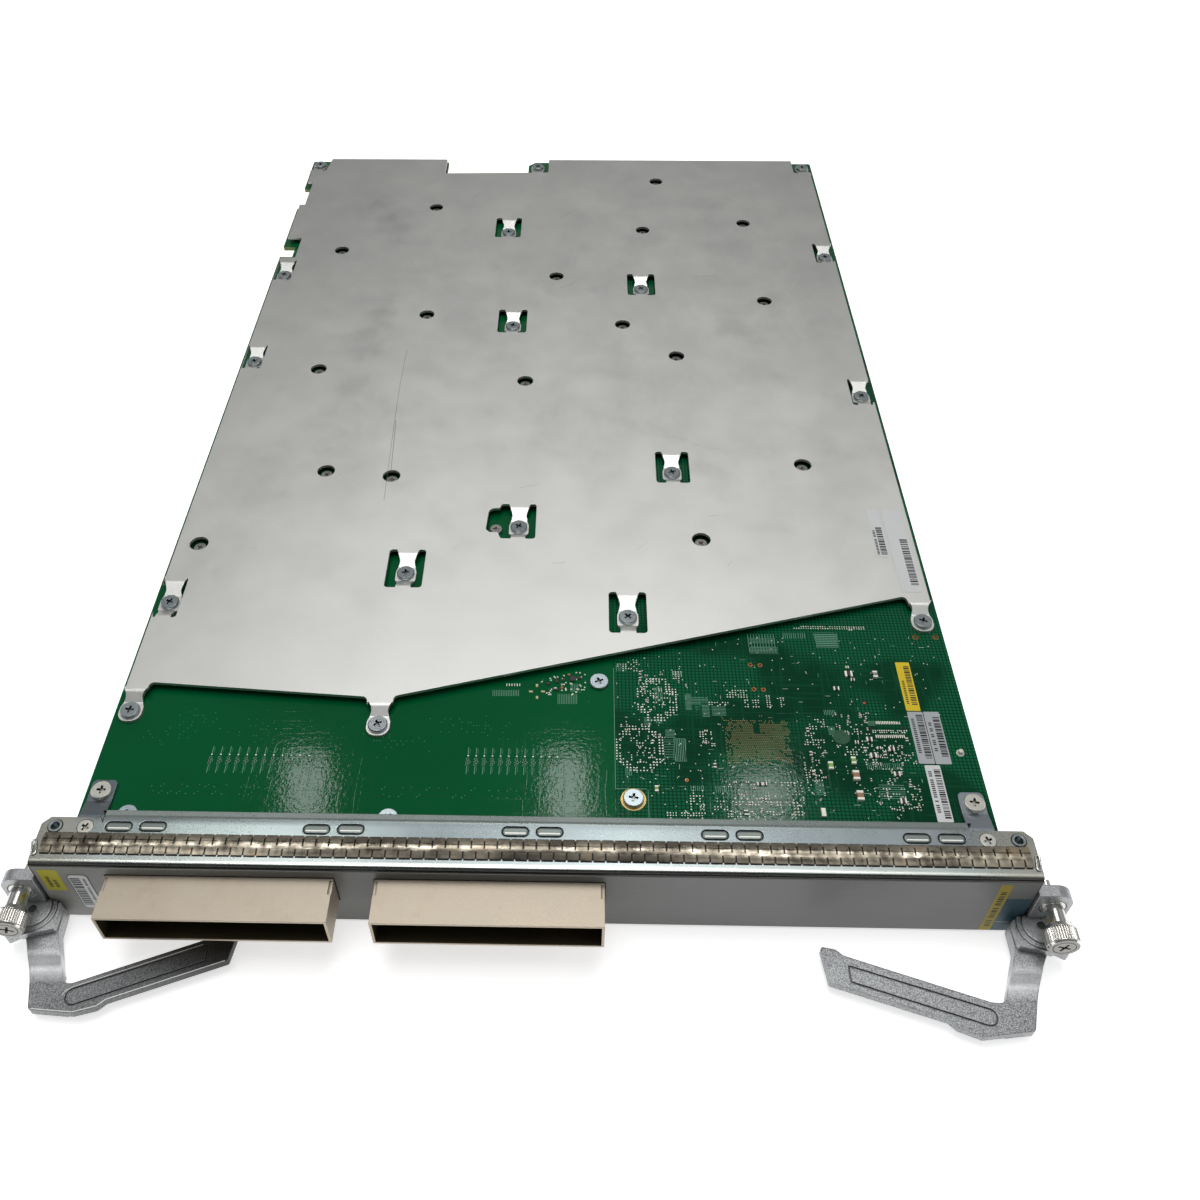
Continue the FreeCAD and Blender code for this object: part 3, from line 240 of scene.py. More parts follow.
def metal(name, col, rough, var=0.08, grain=0.25, edge=0.00025, scale=900.0, aniso=None, patch=25.0, metallic=1.0, recess=0.0):
    """Sheet or turned metal: colour mottle, roughness mottle, fine grain."""
    k = Mat(name, metallic=metallic)
    n1 = k.noise(patch, 4.0, 0.6)
    n2 = k.noise(scale, 2.0, 0.5)
    lo = tuple(c * (1 - var) for c in col[:3]) + (1,)
    hi = tuple(min(1, c * (1 + var)) for c in col[:3]) + (1,)
    face = k.ramp(n1, [(0.3, lo), (0.7, hi)])
    # painted shade: hollows such as screw head recesses are darkened
    if recess:
        face = k.mix(k.hollow(recess), face, srgb(14, 15, 16))
    k.put("Base Color", face)
    r = k.math("ADD", k.span(n1, 0.3, 0.7, rough * 0.85, rough * 1.15), k.span(n2, 0.3, 0.7, -0.03, 0.03))
    k.put("Roughness", r)
    if aniso:
        vec = k.mapped(scale=aniso)
        k.bump(k.noise(1.0, 2.0, 0.6, vec), grain, 0.00003)
    else:
        k.bump(n2, grain, 0.00003)
    MATS[name] = k.done(edge)
    return MATS[name]


# ---- materials ------------------------------------------------------------
def cover_material():
    k = Mat("cover_aluminium", metallic=0.92)
    x, y, z = k.xyz()
    big = k.noise(7.0, 3.0, 0.55)
    mid = k.noise(38.0, 4.0, 0.6)
    fine = k.noise(1400.0, 2.0, 0.5)
    base = k.ramp(big, [(0.25, srgb(190, 190, 187)), (0.75, srgb(204, 204, 200))])
    cloud = k.ramp(mid, [(0.3, srgb(200, 200, 197)), (0.7, srgb(210, 210, 206))])
    col = k.mix(0.5, base, cloud)
    # dark handling smudges, each a soft worn spot broken up by noise
    for sx, sy, rx, ry, amt, turn in (
        (at(392, 218, 4) + (14, 28, 0.22, 12)), (at(372, 330, 4) + (15, 32, 0.18, -10)),
        (at(735, 322, 4) + (18, 24, 0.20, 18)), (at(352, 385, 4) + (8, 18, 0.12, -6)),
        (at(690, 470, 4) + (26, 8, 0.12, 0)), (at(770, 300, 4) + (12, 20, 0.16, 25)),
    ):
        loc = L(sx, sy)
        a = math.radians(turn)
        dx = k.math("SUBTRACT", x, loc.x)
        dy = k.math("SUBTRACT", y, loc.y)
        u = k.math("ADD", k.math("MULTIPLY", dx, math.cos(a) / (rx / 1000)), k.math("MULTIPLY", dy, math.sin(a) / (rx / 1000)))
        v = k.math("ADD", k.math("MULTIPLY", dx, -math.sin(a) / (ry / 1000)), k.math("MULTIPLY", dy, math.cos(a) / (ry / 1000)))
        d = k.math("SQRT", k.math("ADD", k.math("MULTIPLY", u, u), k.math("MULTIPLY", v, v)))
        d = k.math("ADD", d, k.span(mid, 0.3, 0.7, -0.35, 0.35))
        f = k.span(d, 0.1, 1.0, amt, 0.0)
        col = k.mix(f, col, srgb(96, 96, 95))
    # painted shade: the colour is scaled by position, darker towards the rear of the sheet and towards both sides
    yd_ = k.math("ADD", k.math("MULTIPLY", y, 1000.0), -YS)
    far_painted_shade = k.ramp(k.span(yd_, 130.0, 540.0), [(0.0, 1.0), (0.35, 0.95), (0.62, 0.82), (1.0, 0.74)])
    side_painted_shade = k.math("MULTIPLY", k.span(x, 0.09, 0.16, 1.0, 0.94), k.span(x, -0.06, -0.15, 1.0, 0.87))
    painted_shade_scale = k.node("ShaderNodeVectorMath", operation="SCALE")
    k.link(col, painted_shade_scale.inputs[0])
    k.link(k.math("MULTIPLY", k.math("MULTIPLY", far_painted_shade, side_painted_shade), 1.20), painted_shade_scale.inputs["Scale"])
    k.put("Base Color", painted_shade_scale.outputs["Vector"])
    # rolled grain runs along the sheet
    gr = k.noise(1.0, 3.0, 0.6, k.mapped(scale=(2600, 60, 400)))
    k.put("Roughness", k.math("ADD", k.span(mid, 0.3, 0.7, 0.44, 0.54), k.span(gr, 0.3, 0.7, -0.03, 0.03)))
    k.bump(gr, 0.12, 0.00002)
    k.bump(fine, 0.10, 0.00002)
    k.bump(k.noise(60.0, 2.0, 0.5), 0.10, 0.0006)
    return k.done(0.0003)


def board_material():
    k = Mat("solder_mask", metallic=0.0, rough=0.2)
    x, y, z = k.xyz()
    xm = k.math("MULTIPLY", x, 1000.0)
    ym = k.math("ADD", k.math("MULTIPLY", y, 1000.0), -YS)
    right = k.span(xm, 30.9, 31.2)
    big = k.noise(16.0, 3.0, 0.5)
    plain = k.ramp(big, [(0.3, srgb(0, 79, 41)), (0.7, srgb(0, 86, 47))])
    dark = k.ramp(big, [(0.3, srgb(0, 50, 30)), (0.7, srgb(2, 61, 37))])
    # copper squares under the mask on the dense side, in patches
    patch = k.span(k.noise(24.0, 2.0, 0.5), 0.42, 0.50)
    px_ = k.math("PINGPONG", xm, 0.78)
    py_ = k.math("PINGPONG", ym, 0.78)
    sq = k.math("MULTIPLY", k.span(px_, 0.16, 0.30), k.span(py_, 0.16, 0.30))
    sq = k.math("MULTIPLY", sq, patch)
    squares = k.mix(k.math("MULTIPLY", sq, 0.64), dark, srgb(22, 108, 70))
    # thin tracks
    tr = k.noise(1.0, 1.0, 0.4, k.mapped(scale=(700, 34, 1)))
    tr2 = k.noise(1.0, 1.0, 0.4, k.mapped(scale=(34, 700, 1)))
    tm = k.math("MAXIMUM", k.span(tr, 0.60, 0.66), k.span(tr2, 0.60, 0.66))
    inv = k.math("SUBTRACT", 1.0, patch)
    dense = k.mix(k.math("MULTIPLY", k.math("MULTIPLY", tm, inv), 0.14), squares, srgb(30, 112, 74))
    top = k.mix(right, plain, dense)
    # edge of the board: bare glass laminate
    side = k.math("ABSOLUTE", k.xyz(k.node("ShaderNodeNewGeometry").outputs["Normal"])[2])
    edge = k.span(side, 0.4, 0.6, 1.0, 0.0)
    fib = k.noise(1.0, 3.0, 0.6, k.mapped(scale=(200, 200, 2400)))
    lam = k.ramp(fib, [(0.3, srgb(96, 112, 58)), (0.7, srgb(140, 148, 92))])
    k.put("Base Color", k.mix(edge, top, lam))
    k.put("Roughness", k.math("ADD", k.span(edge, 0.0, 1.0, 0.13, 0.6), k.span(k.noise(300.0, 2.0), 0.3, 0.7, -0.03, 0.04)))
    k.p.inputs["Specular IOR Level"].default_value = 0.03
    k.p.inputs["Coat Weight"].default_value = 0.34
    k.p.inputs["Coat Roughness"].default_value = 0.035
    # orange peel of the mask
    k.bump(k.noise(620.0, 2.0, 0.6), 0.12, 0.0002)
    k.bump(k.noise(210.0, 2.0, 0.5), 0.05, 0.0004)
    k.bump(tm, 0.10, 0.00004)
    return k.done()


def cast_material(name="cast_lever", left=False):
    k = Mat(name, metallic=0.85)
    n1 = k.noise(60.0, 4.0, 0.6)
    sp = k.voronoi(1900.0)
    n2 = k.noise(1900.0, 2.0, 0.6)
    x, y, z = k.xyz()
    xm = k.math("MULTIPLY", x, 1000.0)
    ym = k.math("ADD", k.math("MULTIPLY", y, 1000.0), -YS)
    base = k.ramp(n1, [(0.25, srgb(156, 158, 160)), (0.75, srgb(178, 180, 182))])
    spark = k.ramp(sp, [(0.10, srgb(254, 254, 254)), (0.26, srgb(176, 178, 179)), (0.8, srgb(70, 72, 74))])
    col = k.mix(0.62, base, spark)
    # painted highlight: the hubs are painted brighter, the arms left duller
    hub_highlight = k.math("MULTIPLY", k.span(ym, -27.0, -12.0, 0.0, 0.30), k.span(k.math("ABSOLUTE", xm), 172.0, 180.0))
    col = k.mix(hub_highlight, col, srgb(226, 228, 230))
    # painted highlight: a bright streak across the bend of each arm
    bend_highlight = k.math("MULTIPLY", k.span(k.math("ABSOLUTE", k.math("ADD", ym, 24.0)), 6.5, 1.5), k.span(k.math("ABSOLUTE", xm), 170.0, 174.0))
    col = k.mix(k.math("MULTIPLY", bend_highlight, k.span(n1, 0.35, 0.65, 0.45, 0.75)), col, srgb(244, 245, 246))
    # painted shade: the left lever is darkened towards its far end and the right lever a little overall, lit and
    # shaded copies of one cast finish
    if left:
        far = k.math("MAXIMUM", k.span(ym, -16.0, -30.0), k.span(xm, -174.0, -166.0))
        col = k.mix(k.math("MULTIPLY", k.span(xm, -184.0, -118.0, 0.28, 0.92), far), col, srgb(38, 39, 38))
    else:
        col = k.mix(0.12, col, srgb(56, 57, 58))
    # painted highlight along sharp edges
    col = k.mix(k.math("MULTIPLY", k.rim(0.0005), 0.25), col, srgb(246, 247, 247))
    # painted shade in crevices and hollows, also where other parts close over them
    col = k.mix(k.math("MULTIPLY", k.hollow(0.004, False, 0.62, 0.25), 0.85), col, srgb(34, 35, 37))
    k.put("Base Color", col)
    k.put("Roughness", k.math("ADD", k.span(n1, 0.3, 0.7, 0.32, 0.44), k.span(n2, 0.3, 0.7, -0.10, 0.10)))
    k.bump(n2, 0.60, 0.00016)
    k.bump(n1, 0.15, 0.0005)
    return k.done(0.0006)


def overlay_material():
    k = Mat("grey_film", metallic=0.0, rough=0.42)
    x, y, z = k.xyz()
    xm = k.math("MULTIPLY", x, 1000.0)
    n = k.noise(30.0, 3.0, 0.5)
    # painted light and shade along the length: lighter at the left end, darkest left of the middle
    shade = k.ramp(k.span(xm, -185.0, 185.0), [(0.0, srgb(136, 136, 131)), (0.12, srgb(118, 118, 114)), (0.36, srgb(74, 75, 71)), (0.55, srgb(84, 85, 83)), (0.80, srgb(92, 94, 92)), (1.0, srgb(98, 100, 98))])
    base = k.mix(k.span(n, 0.3, 0.7, 0.0, 0.12), shade, srgb(130, 131, 128))
    # faint rubbed marks
    r = k.span(k.noise(1.0, 2.0, 0.5, k.mapped(scale=(60, 60, 420))), 0.62, 0.72)
    k.put("Base Color", k.mix(k.math("MULTIPLY", r, 0.16), base, srgb(116, 116, 114)))
    k.put("Roughness", k.span(n, 0.3, 0.7, 0.36, 0.48))
    k.bump(k.noise(1800.0, 2.0, 0.5), 0.06, 0.00003)
    return k.done(0.0002)


def cage_material():
    k = Mat("cage_nickel", metallic=0.9)
    n = k.noise(45.0, 5.0, 0.65)
    n3 = k.noise(170.0, 3.0, 0.6)
    fine = k.noise(1600.0, 2.0, 0.5)
    col = k.ramp(n, [(0.25, srgb(158, 147, 131)), (0.5, srgb(176, 165, 149)), (0.75, srgb(185, 175, 159))])
    spot = k.span(n3, 0.66, 0.76)
    col = k.mix(k.math("MULTIPLY", spot, 0.18), col, srgb(140, 128, 112))
    # painted shade: the inner walls are plain plate painted dark inside the cage
    x, y, z = k.xyz()
    zi = k.math("MULTIPLY", k.span(z, (ZS - 2.4 - 0.85) / 1000, (ZS - 2.4 - 0.75) / 1000, 1.0, 0.0), k.span(z, (ZS - 18.0 + 0.75) / 1000, (ZS - 18.0 + 0.85) / 1000))
    xi = None
    for cx in (-115.55, -15.77):
        w = k.span(k.math("ABSOLUTE", k.math("SUBTRACT", x, cx / 1000)), 0.0417, 0.0416)
        xi = w if xi is None else k.math("MAXIMUM", xi, w)
    inner_shade = k.math("MULTIPLY", k.math("MULTIPLY", zi, xi), k.span(y, (YS - 17.4) / 1000, (YS - 17.2) / 1000))
    col = k.mix(inner_shade, col, srgb(88, 80, 62))
    k.put("Base Color", col)
    k.put("Roughness", k.math("ADD", k.span(n, 0.3, 0.7, 0.44, 0.54), k.span(fine, 0.3, 0.7, -0.04, 0.04)))
    k.bump(fine, 0.20, 0.00003)
    return k.done(0.00025)


def flange_material():
    k = Mat("zinc_sheet", metallic=0.95)
    n = k.noise(26.0, 4.0, 0.6)
    sp = k.noise(1500.0, 2.0, 0.6)
    x, y, z = k.xyz()
    xm = k.math("MULTIPLY", x, 1000.0)
    zm = k.math("ADD", k.math("MULTIPLY", z, 1000.0), -ZS)
    ends = k.span(k.math("ABSOLUTE", xm), 160.0, 176.0)
    ym = k.math("ADD", k.math("MULTIPLY", y, 1000.0), -YS)
    col = k.ramp(n, [(0.3, srgb(108, 117, 120)), (0.7, srgb(130, 139, 142))])
    # painted light: the flange is made brighter to the right and towards its rear bend
    col = k.mix(k.span(xm, -40.0, 180.0, 0.0, 0.35), col, srgb(180, 190, 192))
    # painted highlight along the rear bend, stronger in places along the length, then painted shade right at the bend
    wave = k.noise(1.0, 3.0, 0.6, k.mapped(scale=(22, 160, 1)))
    bend_glint = k.ramp(k.span(xm, -185.0, 185.0), [(0.0, 0.30), (0.095, 0.50), (0.15, 0.78), (0.23, 0.66), (0.31, 0.34), (0.38, 0.06), (0.52, 0.06), (0.60, 0.22), (0.68, 0.14), (0.76, 0.0)])
    bend_glint = k.math("MULTIPLY", bend_glint, k.span(ym, 19.4, 16.8))
    bend_glint = k.math("MULTIPLY", bend_glint, k.span(wave, 0.3, 0.7, 0.86, 1.10))
    col = k.mix(bend_glint, col, srgb(222, 238, 234))
    col = k.mix(k.span(ym, 18.8, 19.4, 0.0, 0.8), col, srgb(140, 149, 145))
    # painted highlight on the bent-down rear edge, weaker towards the right end
    back = k.math("MULTIPLY", k.span(ym, 20.6, 21.0), k.span(xm, 40.0, 140.0, 0.62, 0.2))
    col = k.mix(back, col, srgb(190, 201, 196))
    # painted highlight as a pale band and a bright line along the front fold, and painted shade as a dark line at its
    # front edge
    wide = k.ramp(k.span(xm, -185.0, 185.0), [(0.0, 0.85), (0.20, 0.8), (0.34, 0.25), (0.66, 0.25), (0.84, 0.6), (1.0, 0.6)])
    pale = k.math("MULTIPLY", k.span(ym, 4.6, 4.0), k.span(ym, 2.4, 2.9))
    col = k.mix(k.math("MULTIPLY", pale, wide), col, srgb(206, 214, 210))
    col = k.mix(k.math("MULTIPLY", k.span(ym, 2.9, 2.4), k.span(ym, 1.0, 1.3, 0.0, 0.8)), col, srgb(216, 221, 213))
    col = k.mix(k.math("MULTIPLY", k.span(ym, 1.25, 0.95), k.span(ym, 0.15, 0.4)), col, srgb(40, 42, 42))
    # painted reflection: the end portions are tinted cream
    col = k.mix(k.math("MULTIPLY", ends, 0.8), col, srgb(176, 174, 162))
    # painted shade: faces turned to the front get darker colours by height, with a painted black line at the groove
    # above the film and a darker edge at the top
    ny = k.xyz(k.node("ShaderNodeNewGeometry").outputs["Normal"])[1]
    front_face_shade = k.ramp(k.span(zm, 0.0, 5.0), [(0.0, srgb(108, 108, 103)), (0.56, srgb(108, 108, 103)), (0.60, srgb(22, 22, 23)), (0.69, srgb(22, 22, 23)), (0.73, srgb(122, 124, 121)), (0.86, srgb(112, 114, 111)), (0.92, srgb(60, 62, 62))])
    col = k.mix(k.span(ny, -0.45, -0.75), col, front_face_shade)
    k.put("Base Color", col)
    k.put("Roughness", k.math("ADD", k.span(n, 0.3, 0.7, 0.26, 0.36), k.span(sp, 0.3, 0.7, -0.05, 0.05)))
    k.bump(sp, 0.14, 0.00004)
    k.bump(k.noise(1.0, 2.0, 0.5, k.mapped(scale=(30, 600, 600))), 0.10, 0.00008)
    return k.done(0.0004)


def gasket_material():
    k = Mat("finger_strip", metallic=1.0)
    x, y, z = k.xyz()
    xm = k.math("MULTIPLY", x, 1000.0)
    ym = k.math("ADD", k.math("MULTIPLY", y, 1000.0), -YS)
    n = k.noise(55.0, 4.0, 0.65)
    n2 = k.noise(260.0, 3.0, 0.6)
    n4 = k.noise(1.0, 3.0, 0.6, k.mapped(scale=(110, 620, 300)))
    col = k.ramp(n, [(0.2, srgb(98, 92, 80)), (0.45, srgb(128, 121, 108)), (0.62, srgb(158, 150, 134)), (0.8, srgb(196, 168, 126))])
    col = k.mix(k.span(n2, 0.55, 0.72, 0.0, 0.55), col, srgb(84, 74, 62))
    # painted highlight: bright spots along the crown
    crown_glint_noise = k.noise(1.0, 3.0, 0.6, k.mapped(scale=(150, 330, 300)))
    crown_glint_band = k.math("MULTIPLY", k.span(ym, 6.8, 7.8), k.span(ym, 10.4, 9.2))
    col = k.mix(k.math("MULTIPLY", k.span(crown_glint_noise, 0.52, 0.66, 0.0, 0.85), crown_glint_band), col, srgb(244, 234, 214))
    # painted shade in the crease that joins the rear slits
    line = k.span(k.math("ABSOLUTE", k.math("SUBTRACT", ym, 10.0)), 0.42, 0.14)
    col = k.mix(k.math("MULTIPLY", line, k.span(n2, 0.36, 0.58, 0.25, 0.85)), col, srgb(46, 40, 34))
    # painted shade towards the front, most in the middle of its length
    at_x = k.span(xm, -185.0, 185.0)
    front_row_shade = k.ramp(at_x, [(0.08, 0.0), (0.15, 0.20), (0.26, 0.74), (0.38, 0.86), (0.50, 0.96), (0.62, 0.88), (0.74, 0.76), (0.86, 0.55), (0.97, 0.10)])
    mid_row_shade = k.ramp(at_x, [(0.10, 0.0), (0.17, 0.05), (0.26, 0.58), (0.38, 0.75), (0.50, 0.86), (0.62, 0.66), (0.70, 0.20), (0.78, 0.10), (0.86, 0.25), (0.97, 0.10)])
    w = k.node("ShaderNodeMix", data_type="FLOAT")
    k.link(k.span(ym, 6.2, 7.6), w.inputs[0])
    k.link(front_row_shade, w.inputs[2])
    k.link(mid_row_shade, w.inputs[3])
    f = k.math("MULTIPLY", w.outputs[0], k.span(ym, 9.2, 8.0))
    f = k.math("MULTIPLY", f, k.span(n, 0.3, 0.7, 1.06, 0.92))
    col = k.mix(f, col, srgb(16, 15, 14))
    # painted shade on the flanks of the slits
    d1 = k.math("MULTIPLY", k.span(k.math("PINGPONG", k.math("ADD", xm, 177.9), 2.38), 0.50, 0.24), k.span(ym, 7.3, 7.1))
    d2 = k.math("MULTIPLY", k.span(k.math("PINGPONG", k.math("ADD", xm, 176.0), 2.395), 0.50, 0.24), k.math("MULTIPLY", k.span(ym, 8.3, 8.5), k.span(ym, 11.7, 11.5)))
    col = k.mix(k.math("MULTIPLY", k.math("MAXIMUM", d1, d2), 0.6), col, srgb(30, 27, 24))
    k.put("Base Color", col)
    k.put("Roughness", k.math("ADD", k.span(n, 0.3, 0.7, 0.20, 0.36), k.span(n4, 0.3, 0.7, -0.06, 0.06)))
    k.bump(n4, 0.26, 0.0002)
    k.bump(n, 0.30, 0.0006)
    return k.done()


def flat(name, color, rough, metallic=0.0, var=0.10, grain=0.12, scale=600.0, edge=None, patch=60.0):
    """Plastic, paint or paper with slight unevenness."""
    k = Mat(name, metallic=metallic)
    n1 = k.noise(patch, 3.0, 0.55)
    n2 = k.noise(scale, 2.0, 0.5)
    lo = tuple(c * (1 - var) for c in color[:3]) + (1,)
    hi = tuple(min(1, c * (1 + var)) for c in color[:3]) + (1,)
    k.put("Base Color", k.ramp(n1, [(0.3, lo), (0.7, hi)]))
    k.put("Roughness", k.span(n2, 0.3, 0.7, rough * 0.88, min(1.0, rough * 1.12)))
    k.bump(n2, grain, 0.00004)
    MATS[name] = k.done(edge)
    return MATS[name]


M_COVER = cover_material()
M_BOARD = board_material()
M_CAST = cast_material()
M_CAST_L_SHADED = cast_material("cast_lever_left_shaded", True)
M_OVERLAY = overlay_material()
M_CAGE = cage_material()
M_ZINC = flange_material()
M_GASKET = gasket_material()
M_SCREW = metal("screw_zinc", srgb(158, 166, 168), 0.30, var=0.06, grain=0.3, recess=0.0012)
M_SCREW_BOARD = metal("screw_pale", srgb(178, 190, 194), 0.32, var=0.05, grain=0.3, recess=0.0012)
M_SCREW_BRIGHT = metal("screw_bright", srgb(212, 210, 200), 0.34, var=0.06, grain=0.3, recess=0.0012)
M_SCREW_DULL = metal("screw_dull", srgb(172, 172, 166), 0.30, var=0.10, grain=0.35)
def knob_material():
    k = Mat("knob_nickel", metallic=1.0)
    n = k.noise(90.0, 3.0, 0.5)
    col = k.ramp(n, [(0.3, srgb(226, 224, 218)), (0.7, srgb(238, 236, 230))])
    # painted shade: faces turned to the front are darker than the sides
    ny = k.xyz(k.node("ShaderNodeNewGeometry").outputs["Normal"])[1]
    col = k.mix(k.span(ny, -0.8, -0.97), col, srgb(132, 131, 127))
    # painted shade in the cross recess and other hollows
    col = k.mix(k.math("MULTIPLY", k.hollow(0.0007), 0.85), col, srgb(14, 14, 14))
    k.put("Base Color", col)
    k.put("Roughness", k.span(n, 0.3, 0.7, 0.18, 0.26))
    k.bump(k.noise(900.0, 2.0, 0.5), 0.2, 0.00003)
    return k.done(0.0002)


M_KNOB = knob_material()
M_FERRULE = metal("ferrule_nickel", srgb(208, 208, 204), 0.15, var=0.05, grain=0.15)
# painted shade: the left bracket is a darker copy of the right one's zinc
M_BRACKET_L_SHADED = metal("bracket_zinc_shaded", srgb(116, 125, 130), 0.34, var=0.08, grain=0.3)
M_BRACKET = metal("bracket_zinc", srgb(150, 158, 164), 0.34, var=0.08, grain=0.3)
M_LANCE = metal("lance_zinc", srgb(122, 130, 126), 0.46, var=0.05, grain=0.2)
M_GLINT = metal("painted_glint_pale", srgb(246, 246, 240), 0.5, var=0.02, grain=0.1, metallic=0.2)
M_STEEL = metal("dark_steel", srgb(110, 110, 112), 0.35, var=0.12, grain=0.3)
M_SINK = metal("sink_aluminium", srgb(178, 180, 182), 0.38, var=0.06, grain=0.3, aniso=(60, 3000, 3000))
M_SOLDER = flat("solder", srgb(240, 240, 226), 0.32, metallic=0.10, var=0.10, patch=200)
M_GOLD = flat("via_gold", srgb(176, 154, 104), 0.36, metallic=0.4, var=0.14, patch=200)
M_COPPER = metal("ring_copper", srgb(172, 104, 62), 0.34, var=0.12, grain=0.3, edge=None, patch=300)
M_BRASS = metal("ring_brass", srgb(176, 150, 96), 0.3, var=0.12, grain=0.3, edge=None, patch=200)
M_PAD = flat("pad_pale", srgb(196, 192, 140), 0.4)
M_BLACK = flat("moulded_black", srgb(26, 26, 27), 0.45)
M_EPOXY = flat("package_epoxy", srgb(38, 38, 40), 0.5)
M_CONN = flat("connector_grey", srgb(110, 113, 115), 0.5)
# painted shade: flat black used for holes and for sheets laid into gaps and hollows in shade
M_SHADE_BLACK = flat("painted_shade_black", srgb(12, 14, 13), 0.7)
M_TAN = flat("capacitor_tan", srgb(150, 110, 78), 0.5)
M_LEDGREEN = flat("part_green", srgb(120, 160, 70), 0.4)
M_WHITE = flat("label_white", srgb(206, 208, 208), 0.45, var=0.03)
M_WHITE_D = flat("label_pale", srgb(166, 170, 172), 0.5, var=0.03)
M_YELLOW = flat("label_yellow", srgb(216, 188, 4), 0.4, var=0.05)
M_YELLOW_D = flat("sticker_yellow", srgb(176, 168, 34), 0.4, var=0.05)
M_AMBER = flat("strip_amber", srgb(146, 128, 2), 0.5, var=0.05)
M_INK = flat("label_ink", srgb(18, 19, 20), 0.6, var=0.05)
M_SILK = flat("silk_white", srgb(168, 186, 176), 0.6, var=0.05)
M_SILK_D = flat("silk_faint", srgb(92, 142, 116), 0.6, var=0.05)
M_FAINT = flat("via_faint", srgb(36, 112, 76), 0.5, var=0.06)
M_PETROL = flat("panel_petrol", srgb(32, 66, 78), 0.4, var=0.08)
M_RING = flat("panel_ring", srgb(110, 130, 134), 0.4, var=0.05)
M_NUB = flat("nub_white", srgb(214, 210, 196), 0.5, var=0.05)
M_SCRATCH_L = metal("scratch_light", srgb(232, 232, 230), 0.35, var=0.03, grain=0.1, edge=None)
M_SCRATCH_D = metal("scratch_dark", srgb(112, 112, 110), 0.5, var=0.05, grain=0.1, edge=None)
M_MASK_R = flat("mask_dark_green", srgb(6, 78, 44), 0.3)

node_mats = {
    "main_board": M_BOARD, "back_cover": M_COVER, "faceplate": M_ZINC, "faceplate_overlay": M_OVERLAY,
    "emi_gasket": M_GASKET, "module_cage_left": M_CAGE, "module_cage_right": M_CAGE,
    "cage_connector_left": M_BLACK, "cage_connector_right": M_BLACK,
    "cover_screws": M_SCREW, "board_screws": M_SCREW_BOARD, "corner_screws": M_SCREW_BRIGHT, "flange_screws": M_SCREW_BRIGHT,
    "rivet_nuts": M_SCREW, "heat_sink_screws": M_SCREW_DULL, "board_nuts": M_SCREW, "fpga_package": M_EPOXY,
    "power_connector": M_BLACK,
}
for name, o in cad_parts.items():
    mat = node_mats.get(name)
    if mat is None:
        if "ejector" in name or "pivot_block" in name:
            mat = M_CAST_L_SHADED if name == "left_ejector_lever" else M_CAST
        elif "captive_screw" in name or "knob" in name:
            mat = M_KNOB
        elif "ferrule" in name:
            mat = M_FERRULE
        elif "pin" in name or "spring" in name:
            mat = M_STEEL
        elif "corner_bracket" in name:
            mat = M_BRACKET_L_SHADED if "left" in name else M_BRACKET
        elif name.startswith("heat_sink") or "guide_block" in name:
            mat = M_SINK
        elif "package" in name:
            mat = M_EPOXY
        elif name.startswith("backplane"):
            mat = M_CONN
        elif name.startswith("power_module"):
            mat = M_EPOXY
        else:
            mat = M_SCREW
    o.data.materials.clear()
    o.data.materials.append(mat)


